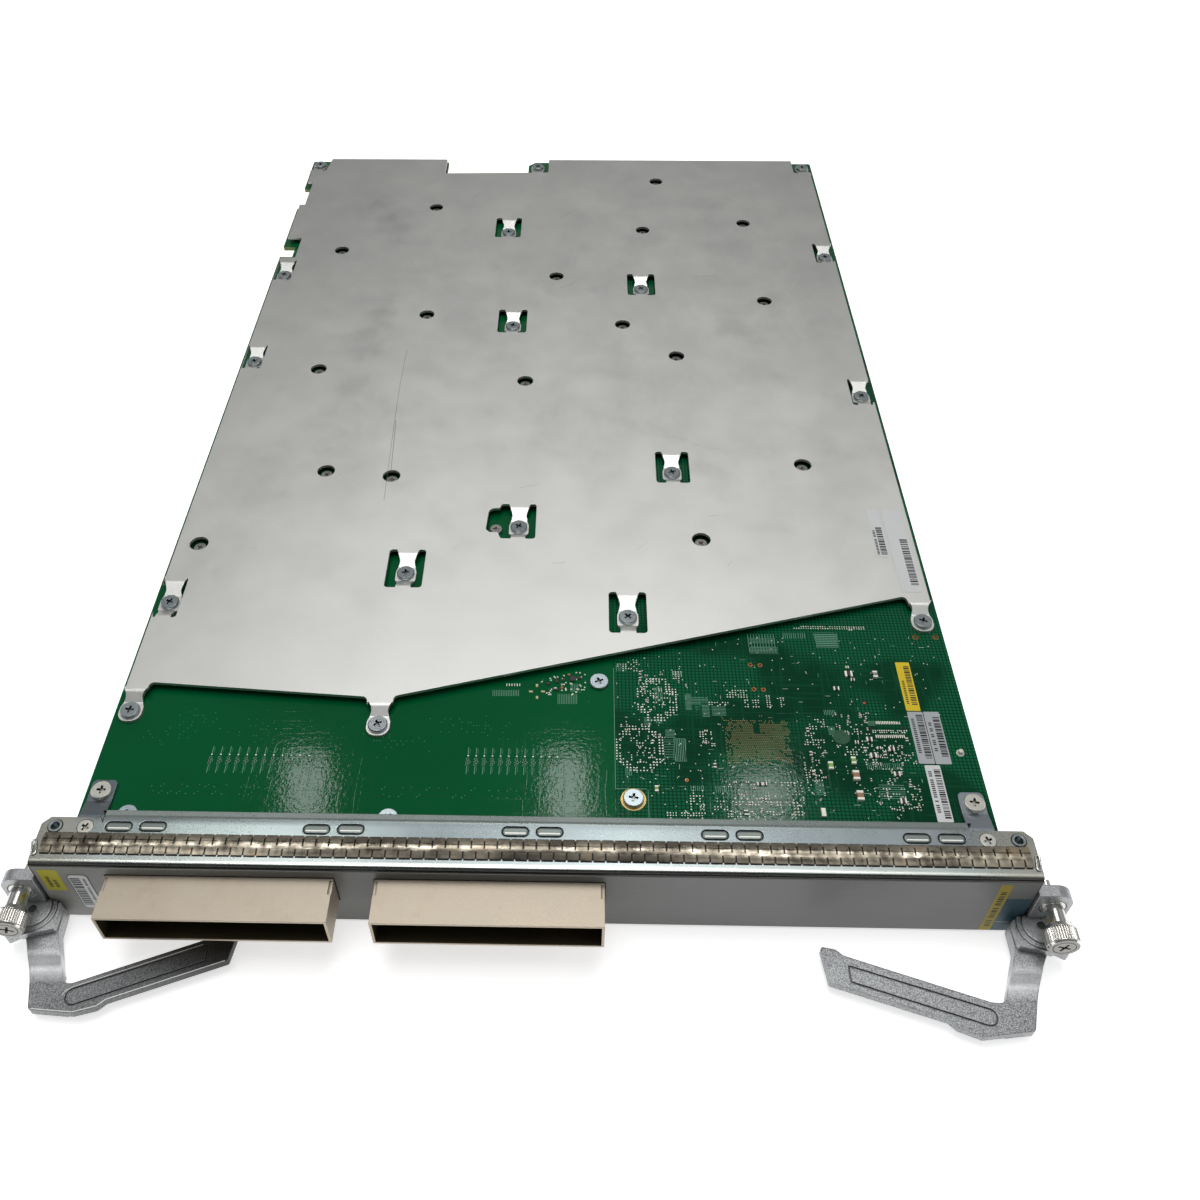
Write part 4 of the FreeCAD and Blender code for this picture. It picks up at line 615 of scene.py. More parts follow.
# ---- mesh helpers ---------------------------------------------------------
class Build:
    """Gathers faces in local millimetres and makes one object of them."""

    def __init__(self, name, mats):
        self.name = name
        self.mats = mats if isinstance(mats, list) else [mats]
        self.v = []
        self.f = []
        self.mi = []
        self.smooth = []

    def add(self, verts, faces, mi=0, smooth=False):
        n = len(self.v)
        self.v.extend(verts)
        for f in faces:
            self.f.append([i + n for i in f])
            self.mi.append(mi)
            self.smooth.append(smooth)

    def disc(self, x, y, z, r, h, n=8, mi=0, dome=0.7):
        """A low domed pad."""
        v = []
        for k in range(n):
            a = 2 * math.pi * k / n
            v.append((x + r * math.cos(a), y + r * math.sin(a), z))
        for k in range(n):
            a = 2 * math.pi * k / n
            v.append((x + r * dome * math.cos(a), y + r * dome * math.sin(a), z + h))
        f = [[k, (k + 1) % n, n + (k + 1) % n, n + k] for k in range(n)]
        f.append([n + k for k in range(n)])
        f.append([n - 1 - k for k in range(n)])
        self.add(v, f, mi)

    def ring(self, x, y, z, r0, r1, h, n=16, mi=0):
        v = []
        for rr, zz in ((r1, z), (r1 - 0.06, z + h), (r0 + 0.06, z + h), (r0, z)):
            for k in range(n):
                a = 2 * math.pi * k / n
                v.append((x + rr * math.cos(a), y + rr * math.sin(a), zz))
        f = []
        for j in range(4):
            for k in range(n):
                a, b = j * n + k, j * n + (k + 1) % n
                c, d = ((j + 1) % 4) * n + (k + 1) % n, ((j + 1) % 4) * n + k
                f.append([a, b, c, d])
        self.add(v, f, mi)

    def block(self, x, y, z, lx, ly, lz, mi=0, turn=0.0, ch=0.12):
        """A box standing at (x, y, z), its top edges chamfered."""
        c, s = math.cos(turn), math.sin(turn)
        hx, hy = lx / 2, ly / 2
        ch = min(ch, hx * 0.4, hy * 0.4, lz * 0.4)
        lev = [(hx, hy, 0.0), (hx, hy, lz - ch), (hx - ch, hy - ch, lz)]
        v = []
        for ax, ay, az in lev:
            for sx, sy in ((-1, -1), (1, -1), (1, 1), (-1, 1)):
                px_, py_ = sx * ax, sy * ay
                v.append((x + px_ * c - py_ * s, y + px_ * s + py_ * c, z + az))
        f = []
        for j in range(2):
            for k in range(4):
                a, b = j * 4 + k, j * 4 + (k + 1) % 4
                f.append([a, b, b + 4, a + 4])
        f.append([8, 9, 10, 11])
        f.append([3, 2, 1, 0])
        self.add(v, f, mi)

    def bar(self, x0, y0, x1, y1, z, w, h=0.03, mi=0):
        """A thin raised line."""
        dx, dy = x1 - x0, y1 - y0
        d = math.hypot(dx, dy)
        if d < 1e-6:
            return
        nx, ny = -dy / d * w / 2, dx / d * w / 2
        pts = [(x0 + nx, y0 + ny), (x0 - nx, y0 - ny), (x1 - nx, y1 - ny), (x1 + nx, y1 + ny)]
        v = [(p[0], p[1], z) for p in pts] + [(p[0], p[1], z + h) for p in pts]
        f = [[3, 2, 1, 0], [4, 5, 6, 7]] + [[k, (k + 1) % 4, 4 + (k + 1) % 4, 4 + k] for k in range(4)]
        self.add(v, [list(q) for q in f], mi)

    def make(self, body="card", bevel=None, replaces=None, to_local=True):
        me = bpy.data.meshes.new(self.name)
        vs = [tuple(L(*p)) for p in self.v] if to_local else self.v
        me.from_pydata(vs, [], self.f)
        for q in self.mats:
            me.materials.append(q)
        for poly, i, s in zip(me.polygons, self.mi, self.smooth):
            poly.material_index = i
            poly.use_smooth = s
        me.validate()
        bm = bmesh.new()
        bm.from_mesh(me)
        bmesh.ops.recalc_face_normals(bm, faces=bm.faces)
        bm.to_mesh(me)
        bm.free()
        o = bpy.data.objects.new(self.name, me)
        bpy.context.scene.collection.objects.link(o)
        if bevel:
            b = o.modifiers.new("edges", "BEVEL")
            b.width = bevel
            b.segments = 2
            b.limit_method = "ANGLE"
        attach(o, body)
        if replaces:
            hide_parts(replaces)
        return o


def rounded(x0, x1, y0, y1, r, n=4):
    pts = []
    for cx, cy, a0 in ((x1 - r, y1 - r, 0), (x0 + r, y1 - r, 90), (x0 + r, y0 + r, 180), (x1 - r, y0 + r, 270)):
        for k in range(n + 1):
            a = math.radians(a0 + 90.0 * k / n)
            pts.append((cx + r * math.cos(a), cy + r * math.sin(a)))
    return pts


def plate(b, pts, z, h, mi=0, lift=None):
    """A flat slab of outline pts, from z up to z + h."""
    n = len(pts)
    v = [(p[0], p[1], z) for p in pts] + [(p[0], p[1], z + h) for p in pts]
    f = [[n - 1 - k for k in range(n)], [n + k for k in range(n)]] + [[k, (k + 1) % n, n + (k + 1) % n, n + k] for k in range(n)]
    b.add(v, f, mi)


def plate_front(b, pts, y, h, mi=0):
    """A flat slab on the faceplate: outline as (x, z), standing out by h."""
    n = len(pts)
    v = [(p[0], y, p[1]) for p in pts] + [(p[0], y - h, p[1]) for p in pts]
    f = [[n - 1 - k for k in range(n)], [n + k for k in range(n)]] + [[k, (k + 1) % n, n + (k + 1) % n, n + k] for k in range(n)]
    b.add(v, f, mi)


# ---- gasket: a strip of sprung fingers ------------------------------------
def gasket():
    x0, x1 = -182.1, 182.1
    top = 4.5
    front = []
    x = -177.9
    while x < x1 - 1.5:
        front.append(x)
        x += 4.76
    rear = []
    x = -176.0
    while x < x1 - 1.5:
        rear.append(x)
        x += 4.79
    g = 0.20

    def dent(x, s):
        d = 0.0
        for cx, w, amt, sc in ((-86, 24, 0.50, 0.22), (98, 30, 0.60, 0.26), (-128, 9, 0.34, 0.45), (20, 30, 0.14, 0.6), (140, 16, 0.28, 0.4), (-20, 18, 0.2, 0.3), (-118, 5, 0.3, 0.5), (60, 7, 0.25, 0.35)):
            d += amt * math.exp(-((x - cx) / w) ** 2) * math.exp(-((s - sc) / 0.26) ** 2)
        d += 0.07 * math.sin(x * 0.37 + 2.0 * math.sin(x * 0.11)) * math.sin(3.1 * s)
        d += 0.05 * math.sin(x * 1.31 + 3.0 * s)
        return max(-0.1, min(0.85, d))

    def height(x, s):
        arch = math.sin(math.pi * (0.05 + 0.90 * s)) ** 0.75
        crease = 0.10 * math.exp(-((s - 0.40) / 0.06) ** 2)
        lift = 0.0
        # each finger bows a little on its own
        if s < 0.34:
            k = min(abs(x - q) for q in front)
            lift = 0.02 * min(1.0, k / 0.9) * (1 - s / 0.34)
        elif 0.46 < s < 0.86:
            k = min(abs(x - q) for q in rear)
            lift = 0.02 * min(1.0, k / 0.9) * math.sin(math.pi * (s - 0.46) / 0.40)
        return top + 0.20 + (1.0 - dent(x, s)) * 0.86 * arch - crease + lift - 0.07

    xs = {round(x0, 3), round(x1, 3)}
    for q in front + rear:
        xs.add(round(q - g, 3))
        xs.add(round(q + g, 3))
        xs.add(round(q - g - 0.2, 3))
        xs.add(round(q + g + 0.2, 3))
    x = x0
    while x < x1:
        if all(abs(x - q) > 0.55 for q in front + rear):
            xs.add(round(x, 3))
        x += 1.05
    xs = sorted(xs)
    ss = [0.0, 0.07, 0.14, 0.21, 0.28, 0.33, 0.40, 0.47, 0.54, 0.61, 0.68, 0.75, 0.82, 0.88, 0.95, 1.0]
    me = bpy.data.meshes.new("finger_strip")
    vs = []
    for x in xs:
        for q in ss:
            vs.append(tuple(L(x, 4.5 + 8.35 * q, height(x, q))))
    fs = []
    n = len(ss)
    for i in range(len(xs) - 1):
        xm = (xs[i] + xs[i + 1]) / 2
        in_front = any(abs(xm - q) < g for q in front)
        in_rear = any(abs(xm - q) < g for q in rear)
        for j in range(n - 1):
            sm = (ss[j] + ss[j + 1]) / 2
            if in_front and sm < 0.33:
                continue
            if in_rear and (0.47 < sm < 0.82 or sm > 0.95):
                continue
            a_ = i * n + j
            fs.append((a_, a_ + n, a_ + n + 1, a_ + 1))
    me.from_pydata(vs, [], fs)
    me.materials.append(M_GASKET)
    for p in me.polygons:
        p.use_smooth = True
    me.validate()
    o = bpy.data.objects.new("finger_strip", me)
    bpy.context.scene.collection.objects.link(o)
    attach(o, "card")
    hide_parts("emi_gasket")
    b = Build("finger_strip_shadow", [M_SHADE_BLACK])
    rows = [(x0 + 0.4, x1 - 0.4, 4.7, 12.5)]
    ends = [x0 + 0.2] + front + [x1 - 0.2]
    rows += [(p + 0.28, q - 0.28, 3.95, 4.7) for p, q in zip(ends[:-1], ends[1:]) if q - p > 1.5]
    ends = [x0 + 0.2] + rear + [x1 - 0.2]
    rows += [(p + 0.26, q - 0.26, 12.5, 13.15) for p, q in zip(ends[:-1], ends[1:]) if q - p > 1.5]
    for xa, xb, ya, yb in rows:
        v = [(xa, ya, top), (xb, ya, top), (xb, yb, top), (xa, yb, top)]
        v += [(q[0], q[1], top + 0.06) for q in v]
        b.add(v, [[3, 2, 1, 0], [4, 5, 6, 7], [0, 1, 5, 4], [1, 2, 6, 5], [2, 3, 7, 6], [3, 0, 4, 7]], 0)
    b.make()


gasket()

# ---- light bars in the flange's lanced slots, and its end beads -----------
SLOT_X = [(-155.6, 15.8), (-142.8, 16.0), (-81.2, 15.9), (-68.4, 16.1), (-6.8, 16.2), (6.0, 16.2), (67.5, 16.1), (80.3, 16.1), (142.2, 15.9), (155.0, 15.9)]
b = Build("flange_lances", [M_LANCE, M_GLINT])
for x, y in SLOT_X:
    hw, hd = 4.85, 1.75
    rings = []
    for inset, z in ((0.0, 3.65), (0.0, 4.35), (0.25, 4.62), (0.7, 4.74)):
        rings.append([(p[0], p[1], z) for p in rounded(x - hw + inset, x + hw - inset, y - hd + inset, y + hd - inset, max(0.4, 1.4 - inset))])
    n = len(rings[0])
    vs = [p for r_ in rings for p in r_]
    fs = []
    for j in range(len(rings) - 1):
        for k in range(n):
            fs.append([j * n + k, j * n + (k + 1) % n, (j + 1) * n + (k + 1) % n, (j + 1) * n + k])
    fs.append([n - 1 - k for k in range(n)])
    fs.append([(len(rings) - 1) * n + k for k in range(n)])
    b.add(vs, fs, 0, False)
    # painted highlight: a bright line along each bar
    b.bar(x - 3.9, y - 0.72, x + 3.9, y - 0.72, 4.74, 0.55, 0.03, 1)
b.make()
b = Build("flange_recess_shade", [M_SHADE_BLACK])
for x, y in SLOT_X:
    plate(b, rounded(x - 5.1, x + 5.1, y - 2.15, y + 2.15, 1.9, 5), 3.6, 0.05, 0)
for s_ in (-1, 1):
    b.ring(s_ * 168.3, 15.6, 4.5, 2.98, 3.14, 0.03, 28, 0)
    b.ring(s_ * 179.5, 15.6, 4.5, 2.66, 2.95, 0.03, 28, 0)
b.make()
# painted shadow: black strips on the film along the top and one side of each cage opening
b = Build("cage_top_gap_shade", [M_SHADE_BLACK])
for cx in (-115.55, -15.77):
    plate_front(b, [(cx - 42.4, -2.38), (cx + 42.6, -2.38), (cx + 42.6, -1.75), (cx - 42.4, -1.75)], -0.4, 0.05, 0)
    plate_front(b, [(cx + 42.35, -12.0), (cx + 42.65, -12.0), (cx + 42.65, -1.98), (cx + 42.35, -1.98)], -0.4, 0.05, 0)
b.make()


def bead(name, cx, cy, hx, hy, r, tube=0.42):
    """A small closed loop of wire lying beside the gasket's end."""
    d = math.hypot(hx, hy)
    ux, uy = hx / d, hy / d
    pts = []
    for k in range(24):
        a = 2 * math.pi * k / 24
        c_, s_ = math.cos(a), math.sin(a)
        along = (d - r) * (1 if c_ > 0 else -1) + r * c_
        pts.append((cx + ux * along - uy * r * s_, cy + uy * along + ux * r * s_))
    b = Build(name, M_FERRULE)
    n, m_ = len(pts), 8
    vs = []
    for k, (x, y) in enumerate(pts):
        xa, ya = pts[k - 1]
        xb, yb = pts[(k + 1) % n]
        tx, ty = xb - xa, yb - ya
        q = math.hypot(tx, ty)
        nx, ny = -ty / q, tx / q
        for j in range(m_):
            a = 2 * math.pi * j / m_
            vs.append((x + nx * tube * math.cos(a), y + ny * tube * math.cos(a), 4.5 + tube + tube * math.sin(a)))
    fs = []
    for k in range(n):
        for j in range(m_):
            fs.append([k * m_ + j, ((k + 1) % n) * m_ + j, ((k + 1) % n) * m_ + (j + 1) % m_, k * m_ + (j + 1) % m_])
    b.add(vs, fs, 0, True)
    return b.make()


bead("strip_end_left", -184.3, 6.6, -0.75, 2.9, 0.75)
bead("strip_end_right", 184.0, 6.4, 0.45, 2.9, 0.7)

# ---- painted highlights along the edges of the left handle ----------------
def left_handle(x, y, turn=-1.6):
    a = math.radians(turn)
    dx, dy = x - 189.6, y + 4.6
    return -(189.6 + dx * math.cos(a) - dy * math.sin(a)), -4.6 + dx * math.sin(a) + dy * math.cos(a)


b = Build("handle_edge_glints", [M_GLINT])
for pts, w in (
    ([(114.6, -22.75), (125.0, -26.35), (140.0, -31.6), (155.0, -36.8), (157.8, -39.2), (166.0, -41.3), (181.4, -39.9)], 0.34),
    ([(124.0, -16.35), (140.0, -22.05), (155.0, -27.4), (168.0, -32.0), (170.4, -33.4), (171.4, -35.2)], 0.22),
):
    q = [left_handle(*p_) for p_ in pts]
    for (xa, ya), (xb, yb) in zip(q[:-1], q[1:]):
        b.bar(xa, ya, xb, yb, -27.5, w, 0.03, 0)
b.make(body="left_lever")

# ---- labels ---------------------------------------------------------------
def label(name, x0, x1, y0, y1, z, paper, bars, seed, ink=M_INK, cols=2):
    """A sheet label lying on the board or cover, with generic bars across it."""
    b = Build(name, [paper, ink])
    plate(b, rounded(x0, x1, y0, y1, 0.4, 3), z, 0.09, 0)
    r = random.Random(seed)
    zt = z + 0.09
    for (ca, cb, ya, yb, kind) in bars:
        xa, xb = x0 + (x1 - x0) * ca, x0 + (x1 - x0) * cb
        y = y0 + (y1 - y0) * ya
        ye = y0 + (y1 - y0) * yb
        if kind == "bars":
            while y < ye:
                w = r.choice((0.35, 0.45, 0.6, 0.85))
                b.bar(xa, y + w / 2, xb, y + w / 2, zt, w, 0.02, 1)
                y += w + r.choice((0.28, 0.32, 0.42, 0.6))
        if kind == "marks":
            while y < ye:
                if r.random() < 0.88:
                    b.bar(xa, y + 0.3, xb, y + 0.3, zt, 0.55, 0.02, 1)
                y += 0.95
    return b.make()


label("cover_label_small", 152.9, 158.6, 161.4, 192.8, 4.3, M_WHITE, [(0.42, 0.92, 0.05, 0.62, "bars"), (0.12, 0.32, 0.05, 0.55, "marks")], 3)
label("cover_label_large", 160.0, 169.4, 139.7, 193.2, 4.3, M_WHITE, [(0.55, 0.92, 0.08, 0.62, "bars")], 4)
label("board_label_yellow", 151.0, 156.9, 77.5, 102.9, 0.0, M_YELLOW, [(0.50, 0.90, 0.12, 0.92, "bars"), (0.16, 0.34, 0.14, 0.62, "marks")], 5)
label("board_label_a", 151.1, 157.4, 51.8, 77.0, 0.0, M_WHITE_D, [(0.50, 0.92, 0.10, 0.93, "bars"), (0.14, 0.34, 0.20, 0.86, "marks")], 6)
label("board_label_b", 157.7, 164.0, 51.7, 77.1, 0.0, M_WHITE_D, [(0.50, 0.92, 0.14, 0.88, "bars"), (0.14, 0.34, 0.24, 0.80, "marks")], 8)
label("board_label_c", 152.9, 159.0, 25.6, 51.1, 0.0, M_WHITE, [(0.52, 0.92, 0.06, 0.92, "bars"), (0.14, 0.36, 0.16, 0.9, "marks")], 9)

# front: stickers and printed fields on the overlay
YF = -0.4
b = Build("sticker_yellow", [M_YELLOW_D, M_INK])
plate_front(b, rounded(-182.6, -175.2, -14.2, 0.8, 0.5, 3), YF, 0.08, 0)
for xa, za, zb in ((-180.9, -11.6, -4.6), (-178.6, -11.8, -6.4)):
    q = za
    while q < zb:
        plate_front(b, [(xa, q), (xa + 1.3, q), (xa + 1.3, q + 0.7), (xa, q + 0.7)], YF - 0.08, 0.02, 1)
        q += 1.15
b.make()
b = Build("bar_label_front", [M_WHITE, M_INK, M_SILK])
plate_front(b, rounded(-172.7, -164.9, -27.8, -2.4, 1.9, 5), YF, 0.06, 1)
plate_front(b, rounded(-172.4, -165.2, -27.5, -2.7, 1.7, 5), YF - 0.06, 0.04, 0)
r = random.Random(11)
z = -5.6
while z > -25.4:
    w = r.choice((0.25, 0.35, 0.5, 0.7))
    plate_front(b, [(-172.0, z), (-168.3, z), (-168.3, z + w), (-172.0, z + w)], YF - 0.10, 0.02, 1)
    z -= w + r.choice((0.2, 0.3, 0.4))
z = -6.0
while z > -24.5:
    if r.random() < 0.8:
        plate_front(b, [(-167.3, z), (-166.3, z), (-166.3, z + 0.5), (-167.3, z + 0.5)], YF - 0.10, 0.02, 1)
    z -= 0.9
b.make()
b = Build("strip_amber", [M_AMBER, M_INK])
plate_front(b, [(170.3, -33.8), (174.7, -33.8), (174.7, 0.9), (170.3, 0.9)], YF, 0.05, 0)
z = -30.5
while z < -4.0:
    if r.random() < 0.86:
        w = r.choice((0.5, 0.7, 0.9))
        plate_front(b, [(171.5, z), (173.6, z), (173.6, z + w), (171.5, z + w)], YF - 0.05, 0.02, 1)
    z += 1.35
b.make()
b = Build("panel_petrol", [M_PETROL, M_RING])
plate_front(b, [(174.7, -33.8), (184.1, -33.8), (184.1, -9.4), (174.7, -9.4)], YF, 0.05, 0)
plate_front(b, [(174.9, -27.3), (180.0, -27.3), (180.0, -26.7), (174.9, -26.7)], YF - 0.05, 0.02, 1)
b.make()

# ---- board detail ---------------------------------------------------------
def crop(u, v):
    """Board point of a place in the enlarged right part of the picture."""
    return at(590 + u / 3.6, 590 + v / 3.6)


def crop_l(u, v):
    return at(80 + u / 2.8, 660 + v / 2.8)


def under_cover(x, y):
    """True where the sheet hides or would foul the spot."""
    if y > 137.3:
        return True
    if x > 161.2:
        return y > 118 and abs(x - 166.8) < 6.5
    if x > -59.7:
        return y > 78.0 + (x + 59.7) / 220.9 * 58.8 - 0.8
    return y > 77.0


# solder pin arrays of the two host connectors
b = Build("pin_arrays", [M_SOLDER, M_SHADE_BLACK, M_SILK_D, M_GOLD, M_FAINT])
for xa, xb, yc in ((-130.0, -91.1, 49.2), (-27.6, 8.0, 50.2)):
    for i in range(12):
        x = xa + (xb - xa) * i / 11.0
        b.bar(x + 0.05, yc + 3.0, x + 0.05, yc + 6.2, 0, 0.30, 0.02, 2)
        b.bar(x + 0.75, yc + 3.4, x + 0.75, yc + 5.6, 0, 0.20, 0.02, 4)
        b.disc(x + 0.1, yc + 2.4, 0, 0.36, 0.10, 10, 0)
        for ax_, ay_ in ((0.0, 0.8), (0.55, -0.5), (-0.1, -1.7)):
            b.ring(x + ax_, yc + ay_, 0, 0.40, 0.66, 0.04, 12, 2)
            b.disc(x + ax_, yc + ay_, 0, 0.42, 0.06, 10, 1)
        b.disc(x - 0.55, yc - 0.4, 0, 0.20, 0.05, 8, 3)
        b.bar(x - 0.1, yc - 2.7, x - 0.1, yc - 6.2, 0, 0.30, 0.02, 2)
        b.bar(x + 0.6, yc - 2.6, x + 0.6, yc - 5.2, 0, 0.20, 0.02, 4)
b.make()

# plugged vias and dotted rows of the plain side
b = Build("plain_side_vias", [M_FAINT, M_SHADE_BLACK])
for x_start, x_end in ((-150.0, -82.0), (-60.0, 24.0)):
    x = x_start
    while x < x_end:
        for yy in (33.4, 36.6):
            if rnd.random() < 0.85:
                b.disc(x + rnd.uniform(-0.1, 0.1), yy, 0, 0.30, 0.03, 8, 0 if rnd.random() < 0.6 else 1)
                if rnd.random() < 0.5:
                    b.disc(x + 1.1, yy + 0.9, 0, 0.24, 0.03, 8, 0)
        x += 3.5
for _ in range(170):
    cx, cy = rnd.choice(((-138, 70), (-110, 62), (-92, 64), (-60, 58), (-20, 66), (0, 62), (10, 88), (-150, 60), (-118, 66), (-40, 68)))
    x = round((cx + rnd.gauss(0, 7)) / 1.2) * 1.2
    y = round((cy + rnd.gauss(0, 3.0)) / 1.6) * 1.6
    if not under_cover(x, y + 1) and x < 29:
        b.disc(x, y, 0, 0.24, 0.03, 8, 0)
b.make()

# dense side
SCREW_SPOTS = [(37.8, 33.6), (24.8, 89.9), (166.8, 124.2), (167.8, 32.9)]


def clear_spot(x, y, r=5.0):
    return all(math.hypot(x - a, y - c) > r for a, c in SCREW_SPOTS) and not under_cover(x, y + 0.8) and y > 24.0 and x < 173.5


b = Build("solder_dots", [M_SOLDER, M_SHADE_BLACK])
count = 0


def dot(x, y, r=0.31, mi=0, h=0.10):
    global count
    if clear_spot(x, y, 4.9):
        b.disc(x, y, 0, r * rnd.uniform(0.8, 1.15), h, 8, mi)
        count += 1


def ring_cluster(u, v, w, h, step, keep):
    """Dots round a part on the far side: a broken eight-sided band on a grid,
    with a few short rows inside it."""
    x0, y0 = crop(u - w, v + h)
    x1, y1 = crop(u + w, v - h)
    cx, cy = (x0 + x1) / 2, (y0 + y1) / 2
    rx, ry = (x1 - x0) / 2, (y1 - y0) / 2
    nx_, ny_ = int(rx / step) + 1, int(ry / step) + 1
    for i in range(-nx_, nx_ + 1):
        for j in range(-ny_, ny_ + 1):
            a_, b_ = abs(i * step) / rx, abs(j * step) / ry
            e = max(a_, b_, (a_ + b_) * 0.72)
            if 0.78 < e < 1.06:
                p_ = keep
            elif e <= 0.78:
                p_ = 0.34 if (i // 2 + j // 2) % 3 == 0 else 0.03
            else:
                continue
            if rnd.random() < p_:
                dot(cx + i * step + rnd.uniform(-0.06, 0.06), cy + j * step + rnd.uniform(-0.06, 0.06), 0.36)


def field(u0, v0, u1, v1, pitch, keep, r=0.30, snap=True):
    xa, ya = crop(u0, v1)
    xb, yb = crop(u1, v0)
    y = ya
    while y <= yb:
        x = xa
        while x <= xb:
            if rnd.random() < keep:
                dot(x + (0 if snap else rnd.uniform(-0.4, 0.4)), y + (0 if snap else rnd.uniform(-0.4, 0.4)), r)
            x += pitch
        y += pitch


ring_cluster(240, 395, 72, 72, 1.32, 0.86)
ring_cluster(178, 570, 84, 78, 1.32, 0.82)
field(190, 345, 300, 420, 1.15, 0.32)
field(140, 520, 230, 620, 1.15, 0.30)
field(200, 320, 250, 335, 1.15, 0.8)
field(495, 362, 570, 385, 1.15, 0.9)
field(560, 395, 605, 420, 1.1, 0.8)
field(640, 380, 648, 420, 1.1, 0.9)
field(690, 385, 696, 420, 1.1, 0.7)
field(430, 400, 500, 412, 1.1, 0.7)
field(700, 130, 985, 137, 1.05, 0.9)
field(780, 112, 820, 120, 1.05, 0.6)
field(925, 140, 950, 144, 1.0, 0.8)
field(100, 240, 205, 290, 1.15, 0.42)
field(300, 295, 335, 318, 1.15, 0.9)
field(480, 690, 760, 700, 1.2, 0.35)
field(500, 740, 700, 750, 1.2, 0.35)
field(540, 765, 760, 772, 1.2, 0.5)
field(280, 800, 420, 820, 1.1, 0.62)
field(500, 795, 700, 825, 1.15, 0.35)
field(365, 720, 410, 790, 1.2, 0.5)
field(450, 730, 500, 790, 1.2, 0.4)
field(775, 540, 850, 556, 1.1, 0.7)
field(790, 600, 830, 730, 1.15, 0.45)
field(815, 465, 860, 500, 1.15, 0.4)
field(900, 560, 990, 600, 1.15, 0.25)
field(990, 560, 1150, 620, 1.15, 0.28)
field(1040, 700, 1190, 790, 1.15, 0.30)
field(880, 470, 1000, 560, 1.15, 0.20)
field(400, 510, 440, 560, 1.1, 0.35)
field(780, 480, 800, 540, 1.1, 0.5)
field(1020, 505, 1140, 512, 0.9, 0.9)
field(1030, 470, 1115, 474, 0.9, 0.9)
field(1000, 640, 1130, 644, 1.2, 0.5)
field(730, 690, 760, 820, 1.3, 0.35)
for _ in range(420):
    u, v = rnd.uniform(90, 1260), rnd.uniform(170, 825)
    if 480 < u < 720 and 440 < v < 620:
        continue
    x, y = crop(u, v)
    dot(x, y, 0.24, 0 if rnd.random() < 0.8 else 1, 0.06)
b.make()

# gold via field behind the large package
b = Build("via_field", [M_GOLD])
cxg, cyg = crop(605, 545)
for i in range(-16, 17):
    for j in range(-15, 16):
        x = cxg + i * 0.84
        y = cyg + j * 0.84
        keep = 0.95
        e = max(abs(i) / 15.0, abs(j) / 12.5)
        if e > 1:
            keep = 0.12 if j > 0 else 0.0
        if abs(i) < 1.6 and j > 4:
            keep = 0.0
        if e > 0.86 and e <= 1:
            keep = 0.62
        if rnd.random() < keep:
            b.disc(x + (0.2 if j % 2 else -0.2), y, 0, 0.215, 0.05, 7, 0)
b.make()

# fine component outlines and legend blocks on the dense side
b = Build("legend_marks", [M_SILK, M_SILK_D])


def hatch(u0, v0, u1, v1, pitch, across=True, mi=1, w=0.24, frame_=False):
    xa, ya = crop(u0, v1)
    xb, yb = crop(u1, v0)
    if under_cover((xa + xb) / 2, yb):
        return
    if across:
        y = ya
        while y <= yb:
            b.bar(xa, y, xb, y, 0, w, 0.02, mi)
            y += pitch
    else:
        x = xa
        while x <= xb:
            b.bar(x, ya, x, yb, 0, w, 0.02, mi)
            x += pitch
    if frame_:
        for p, q in (((xa, ya), (xb, ya)), ((xb, ya), (xb, yb)), ((xb, yb), (xa, yb)), ((xa, yb), (xa, ya))):
            b.bar(p[0] - 0.3, p[1], q[0] + 0.3, q[1], 0, 0.16, 0.02, mi)


for u0, u1, v0, v1 in ((493, 521, 690, 696), (558, 579, 694, 704), (571, 580, 684, 692)):
    for i in range(int((u1 - u0) / 1.7)):
        xa, ya = at(u0 + i * 1.7, v1)
        xb, yb = at(u0 + i * 1.7, v0)
        if not under_cover(xb, yb + 1.0):
            b.bar(xa, ya, xb, yb, 0, 0.26, 0.02, 1)
hatch(575, 160, 665, 225, 1.25, False)
hatch(575, 175, 665, 190, 0.8, True)
hatch(578, 205, 672, 228, 0.8, True, 1, 0.3, True)
hatch(815, 155, 885, 205, 1.0, True, 1, 0.5, True)
hatch(697, 155, 745, 175, 0.9, False)
hatch(752, 155, 776, 175, 0.9, False)
hatch(236, 350, 262, 400, 0.7, False)
hatch(345, 372, 362, 430, 0.6, True)
hatch(365, 385, 425, 410, 0.8, True)
hatch(405, 405, 428, 455, 0.7, True)
hatch(272, 500, 305, 530, 0.7, True)
hatch(308, 535, 342, 616, 0.7, False, 1, 0.26, True)
hatch(268, 540, 300, 610, 1.2, True, 1, 0.2, True)
hatch(298, 292, 332, 312, 0.7, False)
hatch(195, 460, 220, 485, 0.7, True)
hatch(240, 465, 262, 480, 0.7, False)
hatch(440, 420, 488, 450, 0.7, True)
hatch(1000, 624, 1120, 646, 0.8, False)
hatch(1050, 700, 1130, 750, 1.0, True)
hatch(845, 432, 880, 450, 0.7, False)
hatch(860, 492, 880, 520, 0.6, True)
hatch(455, 705, 500, 730, 0.8, False)
hatch(365, 705, 410, 722, 0.8, False)
hatch(130, 640, 150, 668, 0.7, False)
hatch(95, 270, 130, 292, 0.8, False)
hatch(815, 690, 840, 735, 0.7, True)
hatch(1000, 470, 1024, 486, 0.6, True)
